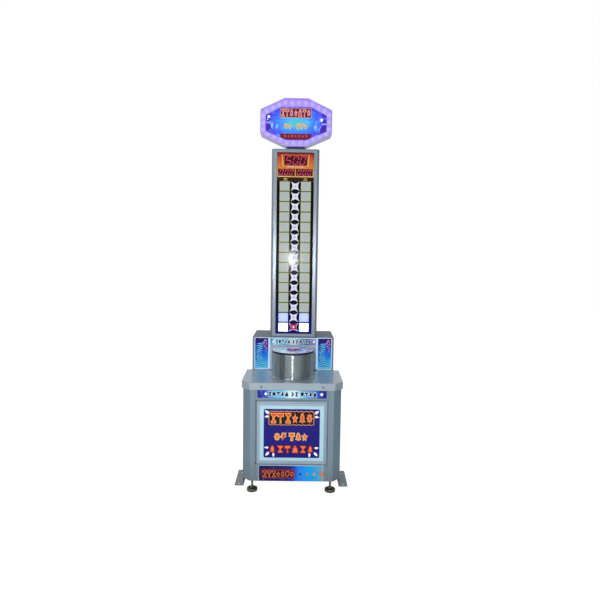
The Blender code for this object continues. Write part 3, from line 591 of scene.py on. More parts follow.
INK = ink_set(
    "ink",
    navy=(0.014, 0.01, 0.19), black=(0.03, 0.006, 0.01), dark_teal=(0.01, 0.03, 0.045),
    maroon=(0.09, 0.008, 0.035), orange=(0.9, 0.26, 0.06, 0.08), red=(0.74, 0.075, 0.045, 0.06),
    crimson=(0.5, 0.02, 0.075, 0.05), white=(0.86, 0.84, 0.95, 0.12), lilac=(0.42, 0.22, 0.6, 0.03),
    sky=(0.16, 0.62, 0.92, 0.1), deep=(0.004, 0.014, 0.17), royal=(0.012, 0.075, 0.42),
    olive=(0.17, 0.18, 0.05), gold=(0.74, 0.48, 0.17, 0.1), beige=(0.74, 0.5, 0.28, 0.1),
    salmon=(0.82, 0.2, 0.07, 0.1), violet_film=(0.16, 0.07, 0.46, 0, 0.24, 0),
    pad_crimson=(0.36, 0.012, 0.085, 0, 0.24, 0.05), badge=(0.76, 0.74, 0.88, 0.03, 0.14, 0.03),
    badge_mark=(0.52, 0.5, 0.68, 0, 0.24, 0.03),
)
lit_lilac = lit_panel("lit_badge_back", (0.62, 0.66, 0.86), 0.35)
lit_red = printed("lit_badge_red", (0.5, 0.035, 0.1), 0.1)
maroon_glass = printed("maroon_glass", (0.06, 0.001, 0.003), 0.08, 0.1)
digit_glow = printed("digit_glow", (0.62, 0.07, 0.15), 0.32)
shell_lilac = lit_panel("sign_shell_acrylic", (0.42, 0.36, 0.7), 0.1)
SIGN = ink_set(
    "sign_ink",
    pink=(0.8, 0.42, 0.42, 0.18), maroon=(0.15, 0.012, 0.04, 0.2), red=(0.55, 0.07, 0.07, 0.22),
    gold=(0.62, 0.62, 0.26, 0.22), orange=(0.78, 0.27, 0.04, 0.25), sky=(0.24, 0.6, 0.98, 0.3),
    pale=(0.48, 0.46, 0.95, 0.3), violet=(0.06, 0.018, 0.42, 0.2), white=(0.8, 0.84, 1, 0.45),
)


# ---- base cabinet


def dress_base():
    painted = [name for name in NODES if name.startswith("base_") or "door_pan" in name]
    give(body_paint, "mech_bridge", *painted)
    give(bezel_paint_and_highlight, "front_door_bezel")
    give(deck_paint_and_highlight, "deck_cap")
    give(bracket_steel, "floor_bracket_left", "floor_bracket_right")
    give(zinc, "door_hinge_fixed_leaf", "door_hinge_moving_leaf")
    give(zinc, "door_lock_barrel", "door_lock_cam")
    give(green_board, "door_led_board")
    soften(0.0009, "base_side_left", "base_side_right", "front_door_pan", "front_door_bezel")
    soften(0.0012, "deck_cap", "floor_bracket_left", "floor_bracket_right")
    bezel_mitres()
    bolt_x, bolt_z = 0.187, 0.6665
    places = [(x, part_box("deck_cap")[0].y, bolt_z) for x in (-bolt_x, bolt_x)]
    screw_heads("cap_lip_bolts", places, "Y", -1, foot_plate, 0.0062, 0.0004)


def bezel_mitres():
    """The fine seams where the bezel's four sides meet, and the raised beads along its edges."""
    low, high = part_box("front_door_bezel")
    inner_low, inner_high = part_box("door_light_panel")
    seam, step, line, bead, rim = 0.0008, 0.0068, 0.0012, 0.0035, 0.005
    lines = []
    for x_out, x_in in ((low.x, inner_low.x), (high.x, inner_high.x)):
        for z_out, z_in in ((low.z, inner_low.z), (high.z, inner_high.z)):
            lines.append([(x_out, z_out), (x_in, z_in), (x_in, z_in + seam), (x_out, z_out + seam)])
    # Painted shade: dark lines along the top and down the right side of the bezel, inset by a step.
    left, right, foot, top = low.x + step, high.x - step, low.z + step, high.z - step
    lines.append([(left, top), (right, top), (right, top - line), (left, top - line)])
    below = top - 0.002
    lines.append([(right, foot), (right, below), (right - line, below), (right - line, foot)])
    decal((low.y, "front_door", "body_paint"), "bezel_mitres_and_shade_lines", lines, INK.dark_teal)
    opening, around = outset(inner_low, inner_high), outset(inner_low, inner_high, bead)
    frames = [(around, opening, low.y - 0.0009, low.y - PROUD)]
    frames.append((outset(low, high), outset(low, high, -rim), low.y - 0.0012, low.y - PROUD))
    framed("bezel_bead", frames, bezel_paint_and_highlight, "front_door", "body_paint")


def threaded_feet():
    """Each levelling foot: a plated pad on a stem with a real thread, and its lock nut."""
    pitch, thread_start = 0.00175, 0.0285
    nut = [(0.0061, 0.068), (0.01, 0.068), (0.0108, 0.0692)]
    nut += [(0.0108, 0.0772), (0.01, 0.0784), (0.0061, 0.0784)]
    for name in ("front_left", "front_right", "rear_left", "rear_right"):
        node = f"level_foot_{name}"
        low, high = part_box(node)
        centre = ((low.x + high.x) / 2, (low.y + high.y) / 2, 0)
        radius = (high.x - low.x) / 2
        profile = [(0, 0), (radius - 0.003, 0), (radius - 0.0006, 0.0015), (radius, 0.0035)]
        profile += [(radius, 0.015), (radius - 0.001, 0.0172), (radius - 0.005, 0.0196)]
        profile += [(0.0195, 0.0213), (0.0135, 0.0228), (0.0115, 0.024), (0.01, 0.027)]
        height = thread_start
        while height < high.z - pitch:
            profile += [(0.0059, height), (0.0051, height + pitch / 2)]
            height += pitch
        profile += [(0.005, high.z - 0.0005), (0, high.z)]
        foot = turned(f"foot_{name}", profile, centre, foot_plate, "cabinet", 40, 40)
        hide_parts(node)
        turned(f"foot_nut_{name}", nut, centre, zinc, "cabinet", 6)


def bracket_bolts():
    """A hex bolt and washer in each of the floor brackets' holes."""
    sheet, washer, height = 0.004, 0.0012, 0.103
    for side, sign in (("left", -1), ("right", 1)):
        low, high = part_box(f"floor_bracket_{side}")
        face = high.x - sheet if sign < 0 else low.x + sheet
        places = [(face, low.y + at, height) for at in (0.05, 0.18)]
        profile = [(0, 0), (0.01, 0), (0.01, sign * washer), (0, sign * washer)]
        bm = bmesh.new()
        for place in places:
            lathe(bm, profile, place, 24, "X")
        piece(f"bracket_washers_{side}", bm, zinc, "cabinet", smooth=35)
        heads = [(x + sign * washer, y, z) for x, y, z in places]
        screw_heads(f"bracket_bolts_{side}", heads, "X", sign, zinc, 0.0075, 0.0048, hexed=True)


# ---- printed fronts


def lettered(wall, name, icons, span, z, tall, inks, gap, rim, core):
    """A row of icons built up like display lettering: rim, dark block, outline and core."""
    shapes = icon_row(icons, *span, z, tall, gap)
    half = tall / 2 + rim
    block = scalloped(span[0] - rim, span[1] + rim, z - half, z + half, len(icons) + 3, 1.5 * rim)
    parts = {"rim": [grown(block, rim)], "block": [block], "outline": shapes}
    parts["core"] = all_grown(shapes, -core)
    for layer, (part, mat) in enumerate(zip(parts, inks)):
        decal(wall, f"{name}_{part}", parts[part], mat, layer)


def door_art():
    """Generic show art on the light-box door: three rows of icons, and leaves at the corners."""
    give(lit_cyan, "door_light_panel")
    give(INK.navy, "door_art_panel")
    wall = (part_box("door_art_panel")[0].y, "front_door", "navy_print")
    gold = gradient_ink("door_gold", 0.43, 0.525, ((0.72, 0.34, 0.09), (0.8, 0.3, 0.07)), 0.06)
    icons, inks = [ANVIL, MALLET, ANVIL, STAR, BELL, BURST], (gold, INK.black, gold, INK.red)
    span, z, tall = (-0.133, 0.128), 0.4755, 0.066
    lettered(wall, "door_art_top", icons, span, z, tall, inks, gap=0.003, rim=0.0036, core=0.006)
    middle = icon_row([BURST, FLASH], -0.1034, -0.034, 0.36, 0.044, 0.009)
    middle += icon_row([MALLET, BELL, STAR], -0.0135, 0.0935, 0.36, 0.044, 0.009)
    low = icon_row([BELL, ANVIL, MALLET, WEIGHT, ANVIL, BELL], -0.135, 0.133, 0.2825, 0.046, 0.0088)
    for name, shapes, rim, core, inks in (
        ("door_art_middle", middle, 0.004, 0.0052, (INK.gold, INK.orange, INK.red)),
        ("door_art_low", low, 0.0042, 0.0048, (INK.black, INK.red, INK.salmon)),
    ):
        decal(wall, f"{name}_rim", all_grown(shapes, rim), inks[0], 0)
        decal(wall, name, shapes, inks[1], 1)
        decal(wall, f"{name}_core", all_grown(shapes, -core), inks[2], 2)
    corners = [(0.137, 0.502, 0.03, 52), (0.137, 0.486, 0.025, 96), (0.138, 0.292, 0.025, 88)]
    corners += [(0.136, 0.266, 0.029, 138), (0.11, 0.262, 0.025, 182)]
    leaves = []
    for sign in (-1, 1):
        for x, z, size, turn in corners:
            leaves.append(moved(LEAF, sign * x, z, size, math.radians(-sign * turn)))
    decal(wall, "door_art_leaves", leaves, INK.white, 3)


def strip_art(node, groups, tall, ends):
    """Rows of dark icons with pale outlines on a lit strip, and a round glint towards each end."""
    low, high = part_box(node)
    ink = partial(decal, (low.y, "cabinet", "blue_print"))
    z = (low.z + high.z) / 2
    cycle = [ANVIL, SHIELD, MALLET, BELL, WEIGHT, CHEVRON]
    shapes = []
    for x_low, x_high, count in groups:
        icons = [cycle[(len(shapes) + k) % len(cycle)] for k in range(count)]
        shapes += icon_row(icons, x_low, x_high, z, tall, 0.0042)
    xs = [end * (high.x - low.x) / 2 for end in ends]
    glint_z = z + 0.001
    ink(f"{node}_halos", all_grown(shapes, 0.0018), INK.white)
    ink(f"{node}_icons", shapes, INK.dark_teal, 1)
    ink(f"{node}_glints", [moved(disc(tall * 0.3, 18), x, glint_z) for x in xs], INK.white, 1)
    ink(f"{node}_glint_rays", [moved(star(4, 0.3), x, glint_z, tall * 0.48) for x in xs], INK.white)


def front_strips():
    stops = [
        (0, 0.02, 0.012, 0.16), (0.07, 0.016, 0.03, 0.34), (0.13, 0.03, 0.16, 0.64),
        (0.22, 0.08, 0.45, 0.76), (0.36, 0.11, 0.5, 0.72), (0.48, 0.62, 0.86, 0.92),
        (0.58, 0.56, 0.84, 0.9), (0.68, 0.1, 0.44, 0.68), (0.86, 0.025, 0.13, 0.56),
        (0.95, 0.016, 0.014, 0.2),
    ]
    give(run_print("upper_strip_ink", "upper_strip", stops, 0.04), "upper_strip")
    groups = ((-0.146, -0.022, 5), (-0.0065, 0.035, 2), (0.05, 0.148, 4))
    strip_art("upper_strip", groups, 0.0275, (-0.76, 0.85))

    stops = [
        (0, 0.022, 0.004, 0.055), (0.3, 0.024, 0.01, 0.1), (0.48, 0.022, 0.014, 0.17),
        (0.56, 0.016, 0.06, 0.46), (0.62, 0.016, 0.24, 0.86), (0.78, 0.01, 0.33, 0.8),
        (0.88, 0.01, 0.4, 0.72), (0.95, 0.12, 0.36, 0.56), (1, 0.27, 0.33, 0.43),
    ]
    give(run_print("kick_strip_ink", "kick_strip", stops, 0, (0.1, 0.45, 0.95)), "kick_strip")
    low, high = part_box("kick_strip")
    wall = (low.y, "cabinet", "blue_print")
    z = low.z + 0.0448
    icons = [ANVIL, MALLET, ANVIL, STAR, BELL, SHIELD, BURST]
    inks = (INK.red, INK.black, INK.salmon, INK.maroon)
    span, tall = (-0.174, 0.017), 0.04
    lettered(wall, "kick_art", icons, span, z, tall, inks, gap=0.003, rim=0.002, core=0.003)
    rings = [moved(disc(0.01, 22), 0.1405, z), moved(fitted(disc(), 0, 0, 0.007, 0.022), 0.0975, z)]
    rings.append(moved(disc(0.0118, 24), 0.188, z - 0.0005))
    decal(wall, "kick_dots", rings, INK.red)
    decal(wall, "kick_dot_faint", [moved(disc(0.008), 0.056, z)], INK.royal)
    decal(wall, "kick_dot_pale", [moved(disc(0.0056), 0.1405, z)], INK.sky, 1)
    decal(wall, "kick_dot_orange", [moved(disc(0.0072), 0.188, z - 0.0005)], INK.orange, 1)
    outer, inner = outset(low, high, 0.002, 0, 0.0024), outset(low, high, 0.0004, -0.0004, 0.0004)
    framed("kick_strip_edge", [(outer, inner, low.y + 0.0002, high.y - PROUD)], lit_edge, *wall[1:])


# ---- drum and pad


def strike_drum():
    """The steel drum and the pad in it, turned finely, with rolled and rounded edges."""
    give(zinc, "pad_plate")
    give(bright_steel, "plunger_shaft")
    give(bronze, "guide_bush")
    give(rubber, "bump_stop")
    give(black_plastic, "hit_sensor")
    low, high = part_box("pad_top")
    centre = ((low.x + high.x) / 2, (low.y + high.y) / 2, 0)
    sleeve_low, sleeve_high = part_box("drum_sleeve")
    foot, top = sleeve_low.z, sleeve_high.z
    profile = [(0.131, foot), (0.1372, foot), (0.1375, foot + 0.0008), (0.1373, foot + 0.0022)]
    profile += [(0.1352, foot + 0.0036), (0.1336, foot + 0.0052), (0.1327, foot + 0.008)]
    profile += [(0.1324, foot + 0.011), (0.1324, top - 0.0014), (0.1322, top - 0.0005)]
    profile += [(0.1317, top), (0.1312, top - 0.0004), (0.131, top - 0.0012)]
    sleeve = turned("drum_shell", profile, centre, drum_steel(), "cabinet", 160, 50)
    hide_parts("drum_sleeve")

    edge, bottom, face = high.x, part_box("pad_cushion")[0].z, low.z
    profile = [(0, bottom), (edge - 0.006, bottom), (edge - 0.0022, bottom + 0.0016)]
    profile += [(edge - 0.0004, bottom + 0.006), (edge, bottom + 0.015)]
    profile += [(edge - 0.0003, face - 0.0022), (edge - 0.001, face - 0.0012), (0, face - 0.0006)]
    cushion = turned("pad_rubber", profile, centre, rubber, "strike_pad", 128, 50)
    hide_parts("pad_cushion")

    profile = [(0, face), (edge - 0.0004, face), (edge, face + 0.0006)]
    profile += [(edge - 0.0003, face + 0.0016), (edge - 0.0014, face + 0.0026)]
    profile += [(edge - 0.003, high.z), (0, high.z)]
    mat = pad_film(centre, high.z)
    film = turned("pad_face", profile, centre, mat, "strike_pad", 128, 30)
    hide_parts("pad_top")
    pad_print(centre, high.z)
    spring_coil(centre)


def drum_steel():
    """Stainless sheet brushed round the drum, so that highlights stretch along its height."""
    paint = Paint("stainless_brushed", (0.5, 0.57, 0.59), 0.29, 1, Anisotropic=0.88)
    tangent = paint.add("Tangent", direction_type="RADIAL", axis="Z")
    paint.use("Tangent", tangent.outputs["Tangent"])
    paint.use("Anisotropic Rotation", 0.25)
    turns = paint.noise(1, 3, at=paint.place(scale=(5, 5, 700)), rough=0.7)
    # Dark vertical streaks in the colour are painted reflections, stretched along the height.
    painted_reflection_streaks = paint.noise(1, 4, at=paint.place(scale=(75, 75, 1.6)), rough=0.7)
    base = paint.mix(turns, (0.43, 0.51, 0.52), (0.55, 0.63, 0.64))
    base = paint.over(base, (0.2, 0.25, 0.27), painted_reflection_streaks, 0.42, 0.62, 0.72)
    smudge = paint.noise(9)
    paint.color(paint.over(base, (0.3, 0.34, 0.36), smudge, 0.52, 0.8, 0.35))
    paint.rough(smudge, 0.25, 0.3)
    paint.bump(turns, 0.05, 0.0002)
    return paint.mat


def pad_film(centre, top):
    """The pad's glossy printed face: lilac, with pale and cyan painted highlights and a faint
    painted glow.
    """
    paint = Paint("pad_face_film", (0.4, 0.4, 0.9), 0.16, Specular_IOR_Level=0.55)
    at = paint.place(centre)
    lilac_and_highlight_clouds = paint.noise(8, 3, at=at, distortion=1.4)
    # The pale and cyan stops are painted highlights on the lilac print.
    stops = [
        (0.34, 0.2, 0.22, 0.86), (0.44, 0.48, 0.6, 1), (0.52, 0.95, 1, 1), (0.6, 0.5, 0.9, 0.97),
        (0.68, 0.55, 0.42, 1),
    ]
    edge = paint.along("Z", top - 0.0013, top - 0.0009)
    paint.color(paint.mix(edge, (0.01, 0.01, 0.04), paint.ramp(lilac_and_highlight_clouds, stops)))
    paint.rough(paint.noise(30), 0.09, 0.18)
    paint.bump(paint.noise(160, 3), 0.03, 0.0004)
    # A faint painted glow; the pad holds no lamp.
    paint.glow(0.06)
    return paint.mat


def pad_print(centre, top):
    """The target on the pad: a violet disc, a crimson burst, a mallet and a fine outer ring."""
    gap, step = 0.00002, 0.00015

    def lying(u, v, w):
        return (centre[0] + u, centre[1] + v, top + w)

    mallet = moved(fitted(MALLET, 0, 0, 0.024, 0.03), 0, 0, 1, math.radians(32))
    for level, (name, outline, mat) in enumerate(
        [
            ("pad_target_disc", disc(0.043, 40), INK.violet_film),
            ("pad_target_burst", star(10, 0.8, 0.035), INK.pad_crimson),
            ("pad_target_mallet", mallet, INK.lilac),
        ]
    ):
        bm = bmesh.new()
        prism(bm, outline, lying, level * step + gap, (level + 1) * step)
        piece(name, bm, mat, "strike_pad")
    ring = [(0.1125, gap), (0.116, gap), (0.116, step), (0.1125, step)]
    on_top = (*centre[:2], top)
    turned("pad_target_ring", ring, on_top, INK.violet_film, "strike_pad", 96)


def spring_coil(centre):
    """The return spring under the pad: a coil of round wire."""
    low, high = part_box("return_spring")
    turns, per_turn, sides, wire, reach = 6, 28, 10, 0.0028, 0.031
    bm = bmesh.new()
    rows = []
    for step in range(turns * per_turn + 1):
        out = Vector((*polar(1, 2 * math.pi * step / per_turn), 0))
        height = low.z + wire + (high.z - low.z - 2 * wire) * step / (turns * per_turn)
        middle = Vector((centre[0], centre[1], height)) + out * reach
        section = [polar(wire, 2 * math.pi * side / sides) for side in range(sides)]
        rows.append([bm.verts.new(middle + out * u + Vector((0, 0, v))) for u, v in section])
    skin(bm, rows)
    bm.faces.new(rows[0])
    bm.faces.new(rows[-1])
    coil = piece("return_spring_coil", bm, bright_steel, "cabinet", smooth=60)
    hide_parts("return_spring")
    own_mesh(coil)


# ---- rear cabinet


def dress_rear():
    give(rear_paint, *[name for name in NODES if name.startswith("rear_")])
    give(centre_grey, "centre_panel")
    give(zinc, "rear_hinge_leaf", "power_supply")
    give(bright_steel, "rear_door_lock")
    give(black_plastic, "power_inlet", "power_rocker")
    give(green_board, "control_board")
    soften(0.0009, "rear_side_left", "rear_side_right", "rear_top")
    soften(0.0015, "centre_panel")
    shoulder_art("left")
    shoulder_art("right")
    stops = [
        (0, 0.03, 0.2, 0.52), (0.1, 0.35, 0.75, 0.88), (0.22, 0.12, 0.52, 0.74),
        (0.36, 0.08, 0.42, 0.62), (0.48, 0.56, 0.7, 0.74), (0.58, 0.42, 0.6, 0.68),
        (0.7, 0.04, 0.24, 0.42), (0.86, 0.03, 0.09, 0.3), (0.97, 0.3, 0.3, 0.62),
    ]
    give(run_print("centre_strip_ink", "centre_strip", stops, 0.05), "centre_strip")
    groups = ((-0.118, -0.021, 5), (-0.007, 0.032, 2), (0.043, 0.116, 4))
    strip_art("centre_strip", groups, 0.0225, (-0.88, 0.92))
    low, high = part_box("centre_panel")
    inner = outset(low, high, -0.0085, -0.001, -0.005)
    frames = [(outset(low, high), inner, low.y - 0.0012, low.y - PROUD)]
    framed("centre_panel_edge", frames, lit_edge, "cabinet", "lit_acrylic")


def shoulder_art(side):
    """A printed panel beside the drum: curling water, navy down to cyan, with lilac splashes."""
    node = f"shoulder_art_{side}"
    low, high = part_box(node)
    stops = [
        (0, 0.09, 0.52, 0.8), (0.22, 0.03, 0.38, 0.86), (0.46, 0.014, 0.18, 0.76),
        (0.7, 0.012, 0.045, 0.46), (0.86, 0.02, 0.01, 0.2), (1, 0.03, 0.008, 0.11),
    ]
    give(tall_print(f"shoulder_ink_{side}", node, stops), node)
    ink = partial(decal, (low.y, "cabinet", "blue_print"))
    x, z = low.x + 0.046, low.z + 0.078
    ink(f"shoulder_dark_{side}", ripples(low, high, x, z, 0.018, 0.0056), INK.deep)
    ink(f"shoulder_pale_{side}", ripples(low, high, x, z, 0.012, 0.0062), INK.sky, 1)
    drops = [(0.07, 0.19, 0.022, 0.016), (0.059, 0.176, 0.012, 0.02)]
    drops += [(0.076, 0.168, 0.012, 0.018), (0.066, 0.152, 0.009, 0.022)]
    drops += [(0.077, 0.14, 0.01, 0.014), (0.071, 0.122, 0.007, 0.016), (0.05, 0.158, 0.007, 0.01)]
    splashes = [
        blob(low.x + u, low.z + v, wide, tall, seed)
        for seed, (u, v, wide, tall) in enumerate(drops)
    ]
    ink(f"shoulder_splash_{side}", splashes, INK.lilac, 2)
    cores = [blob(low.x + 0.07, low.z + 0.187, 0.011, 0.007, 9)]
    cores.append(blob(low.x + 0.075, low.z + 0.165, 0.008, 0.008, 8))
    ink(f"shoulder_core_{side}", cores, INK.crimson, 3)
    frames = [(outset(low, high, 0.0045), outset(low, high), low.y - 0.0008, high.y)]
    framed(f"shoulder_edge_{side}", frames, lit_edge, "cabinet", "lit_acrylic")


def ripples(low, high, x, z, first, width, pitch=0.012, count=8, margin=0.002):
    """Rings of water round (x, z), each kept to the arcs that lie inside the panel."""
    strokes = []
    for ring in range(count):
        radius = first + pitch * ring
        run = []
        for angle in range(80, 321, 8):
            u, v = polar(radius, math.radians(angle), x, z)
            inside = low.x + margin < u < high.x - margin and low.z + margin < v < high.z - margin
            if inside:
                run.append(angle)
            if run and (not inside or angle == 320):
                if run[-1] - run[0] >= 24:
                    strokes.append(crescent(x, z, radius, width, run[0], run[-1]))
                run = []
    return strokes


def rear_details():
    """The screws of the fixed panels, the tower and the sign, on the back of the machine."""
    inset = 0.012
    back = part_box("rear_side_left")[1].y
    low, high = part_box("rear_lower_panel")
    xs, zs = (low.x + inset, high.x - inset), (low.z + inset, high.z - inset)
    places = [(x, back, z) for x in xs for z in zs]
    screw_heads("rear_panel_screws", places, "Y", 1, zinc, tall=0.0003)
    low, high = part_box("tower_shell")
    xs = (low.x + inset, high.x - inset)
    places = [(x, high.y, z) for z in tower_rows(low, high) for x in xs]
    screw_heads("tower_back_screws", places, "Y", 1, zinc, 0.0042, 0.002)
    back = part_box("sign_shell")[1].y
    places = [(x, back, z) for x in (-0.19, 0.19) for z in (2.3, 2.41)]
    places += [(x, back, z) for x in (-0.07, 0.07) for z in (2.225, 2.485)]
    screw_heads("sign_back_screws", places, "Y", 1, zinc)


def tower_rows(low, high, margin=0.05, count=7):
    """The heights of the tower's rows of screws."""
    return [low.z + margin + k * (high.z - low.z - 2 * margin) / (count - 1) for k in range(count)]


# ---- tower


def dress_tower():
    give(frame_paint, "tower_frame", "tower_shell", "tower_cap")
    soften(0.0016, "tower_frame")
    soften(0.0009, "tower_shell", "tower_cap")
    give(green_board, "display_board")
    display_cells()
    score_display()
    low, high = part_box("tower_shell")
    for side, sign, x in (("left", -1, low.x), ("right", 1, high.x)):
        places = [(x, low.y + 0.014, z) for z in tower_rows(low, high)]
        screw_heads(f"tower_screws_{side}", places, "X", sign, zinc, 0.004, 0.002)


# The display's rows of cells: how many, their top edge and pitch, and how far out the cells lie.
ROWS = 15
ROW_TOP = 1.9555
ROW_PITCH = 0.0675
CELL_X = 0.0705


def display_cells():
    """Fifteen rows of score cells: two pale windows in olive outlines beside a column of badges."""
    low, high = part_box("display_panel")
    ink = partial(decal, (low.y, "cabinet", "display_print"))
    paint = Paint("display_black", (0.01, 0.01, 0.016), 0.095, Specular_IOR_Level=0.09)
    run = paint.along("Z", low.z, high.z)
    stops = [
        (0, 0.012, 0.01, 0.15), (0.1, 0.01, 0.01, 0.07), (0.22, 0.002, 0.003, 0.008),
        (0.96, 0.002, 0.003, 0.004), (0.985, 0.04, 0.014, 0.01),
    ]
    paint.color(paint.ramp(run, stops))
    paint.bump(paint.noise(120, 2), 0.012, 0.0003)
    give(paint.mat, "display_panel")
    rims, faces, dim, lit, badges = [], [], [], [], []
    for row in range(ROWS):
        z = ROW_TOP - ROW_PITCH * (row + 0.5)
        for x in (-CELL_X, CELL_X):
            rims.append(moved(rounded(0.069, ROW_PITCH - 0.0008, 0.001, 1), x, z))
            group = {ROWS - 1: lit, ROWS - 2: dim}.get(row, faces)
            group.append(moved(rounded(0.064, ROW_PITCH - 0.0086, 0.002, 2), x, z))
        if row < ROWS - 1:
            badges.append(fitted(BADGE, 0, z, 0.059, 0.063))
    ink("cell_rims", rims[:-4], INK.olive)
    ink("cell_rims_low", rims[-4:], INK.deep)
    pale = cell_film("cell_pale", (0.47, 0.51, 0.36), (0.42, 0.47, 0.5), 0.02)
    blue = cell_film("cell_dim", (0.44, 0.52, 0.84), (0.52, 0.62, 0.92), 0.22)
    ink("cell_faces", faces, pale, 1)
    ink("cell_faces_dim", dim, blue, 1)
    ink("cell_faces_lit", lit, lit_white, 1)
    ink("cell_badges", badges, INK.badge)
    dots = [moved(disc(0.0125, 14), 0, v - ROW_PITCH / 2) for u, v in centres(badges)]
    ink("cell_badge_dots", dots, paint.mat, 1)
    marks = [moved(BURST, u, v, 0.011) for u, v in centres(badges)]
    ink("cell_badge_marks", marks, INK.badge_mark, 1)
    z = ROW_TOP - ROW_PITCH * (ROWS - 0.5)
    ink("lit_badge_back", [fitted(BADGE, 0, z, 0.064, 0.06)], lit_lilac)
    ink("lit_badge", [fitted(pinched(0.22, 0.3), 0, z + 0.002, 0.05, 0.048)], lit_red, 1)
    ink("lit_badge_heart", [moved(BURST, 0, z + 0.002, 0.0085)], lit_lilac, 2)
    arcs = []
    for x in (-0.066, 0.066):
        arcs.append(crescent(x, high.z - 0.032, 0.026, 0.005, 50, 130))
        arcs.append(crescent(x, high.z - 0.038, 0.022, 0.004, 40, 140))
    ink("display_brow", arcs, INK.gold)


def centres(outlines):
    return [[sum(line) / len(line) for line in zip(*outline)] for outline in outlines]


def cell_film(name, rim, middle, glow):
    """A translucent cell window, greener towards its edges and bluer over its lamp."""
    paint = Paint(name, middle, 0.14, Specular_IOR_Level=0.05)
    at = paint.place()
    across = paint.math("ABSOLUTE", paint.axis(at, "X"))
    across = paint.levels(across, CELL_X - 0.03, CELL_X + 0.03, -1, 1)
    rows = paint.levels(paint.axis(at, "Z"), ROW_TOP - ROWS * ROW_PITCH, ROW_TOP, 0, float(ROWS))
    up = paint.levels(paint.math("FRACT", rows), 0, 1, -1, 1)
    spread = paint.math("ADD", *[paint.math("MULTIPLY", away, away) for away in (across, up)])
    spread = paint.waver(spread, paint.noise(60, 3), 0.2)
    paint.color(paint.mix(paint.levels(spread, 0.1, 1.3), middle, rim))
    paint.glow(glow)
    return paint.mat


# The lit segments of each digit, lettered clockwise from the top. The middle one is g.
SEGMENTS = {"0": "abcdef", "5": "acdfg"}


def segment_shapes(text, x, z, wide, tall, gap, bar):
    """Slanted seven-segment digits, centred on (x, z)."""
    side, rise = wide / 2 - bar / 2, tall / 4
    places = {
        "a": (0, tall / 2 - bar / 2, False),
        "g": (0, 0, False),
        "d": (0, bar / 2 - tall / 2, False),
        "b": (side, rise, True),
        "c": (side, -rise, True),
        "f": (-side, rise, True),
        "e": (-side, -rise, True),
    }
    shapes = []
    for index, digit in enumerate(text):
        centre = x + (index - (len(text) - 1) / 2) * (wide + gap)
        for letter in SEGMENTS[digit]:
            u, v, upright = places[letter]
            half = (tall / 2 - bar * 1.05 if upright else wide - bar * 1.15) / 2
            point = bar / 2
            outline = [(-half, 0), (-half + point, point), (half - point, point)]
            outline += [(half, 0), (half - point, -point), (-half + point, -point)]
            if upright:
                outline = [(-q, p) for p, q in outline]
            shapes.append(moved([(p + u, q + v) for p, q in outline], centre, z, slant=0.26))
    return shapes


def score_display():
    """The score panel: a red to amber print with one large and two small three-digit windows."""
    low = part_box("score_panel")[0]
    ink = partial(decal, (low.y, "cabinet", "score_print"))
    stops = [
        (0, 0.64, 0.36, 0.07), (0.3, 0.6, 0.24, 0.03), (0.62, 0.58, 0.13, 0.018),
        (0.86, 0.46, 0.035, 0.01), (0.95, 0.15, 0.008, 0.01),
    ]
    give(tall_print("score_panel_ink", "score_panel", stops, 0.08), "score_panel")
    frame_lines = []
    for sign in (-1, 1):
        slash = [(0.093, 2.13), (0.088, 2.13), (0.079, 2.05), (0.0835, 2.05)]
        frame_lines.append([(sign * u, v) for u, v in slash])
        corner = [(0.03, 1.984), (0.112, 1.984), (0.1195, 1.993), (0.1195, 2.027), (0.1165, 2.027)]
        corner += [(0.1165, 1.9945), (0.1105, 1.987), (0.03, 1.987)]
        frame_lines.append([(sign * u, v) for u, v in corner])
    ink("score_trim", frame_lines, INK.beige)
    field = [(-0.077, 2.1275), (0.077, 2.1275), (0.07, 2.044), (-0.07, 2.044)]
    ink("score_field", [field], INK.salmon)
    caption = [moved(rounded(0.101, 0.0085, 0.002, 2), 0, 2.05)]
    ink("score_caption_bar", caption, INK.beige, 1)
    marks = [moved(rounded(0.0062, 0.0036, 0.001, 1), -0.042 + 0.0105 * k, 2.05) for k in range(9)]
    ink("score_captions", marks, INK.maroon, 2)
    windows = [
        moved(rounded(0.149, 0.066, 0.003, 2), 0.0005, 2.09),
        moved(rounded(0.112, 0.046, 0.0025, 2), -0.0605, 2.012),
        moved(rounded(0.112, 0.046, 0.0025, 2), 0.0585, 2.012),
    ]
    ink("score_windows", windows, maroon_glass, 2)
    digits = segment_shapes("500", 0.0005, 2.09, 0.034, 0.054, 0.0125, 0.0044)
    for x in (-0.0605, 0.0585):
        digits += segment_shapes("000", x, 2.012, 0.0225, 0.037, 0.0105, 0.004)
    ink("score_digits", digits, digit_glow, 3)


# ---- sign


def dress_sign():
    give(shell_lilac, "sign_shell")
    give(dark_blue_paint, "sign_neck")
    soften(0.0012, "sign_shell")
    sign_border()
    low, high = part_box("sign_face")
    middle = (low + high) / 2
    paint = Paint("sign_face_ink", (0.05, 0.3, 0.9), 0.2, Coat_Weight=0.4, Coat_Roughness=0.06)
    at = paint.place((0, middle.y, middle.z + 0.006), (1, 0, 1.9))
    reach = paint.add("VectorMath", {0: at}, operation="LENGTH").outputs["Value"]
    run = paint.waver(paint.levels(reach, 0, 0.22), paint.noise(12, 4, at, distortion=1.6), 0.1)
    stops = [
        (0, 0.06, 0.56, 0.56), (0.3, 0.06, 0.44, 0.82), (0.55, 0.04, 0.21, 0.95),
        (0.8, 0.05, 0.065, 0.86), (1, 0.07, 0.02, 0.56),
    ]
    haze = paint.noise(22, 4, at, distortion=0.8)
    paint.color(paint.over(paint.ramp(run, stops), (0.2, 0.62, 1), haze, 0.52, 0.72, 0.35))
    paint.glow(0.22)
    give(paint.mat, "sign_face")
    sign_print(low.y)


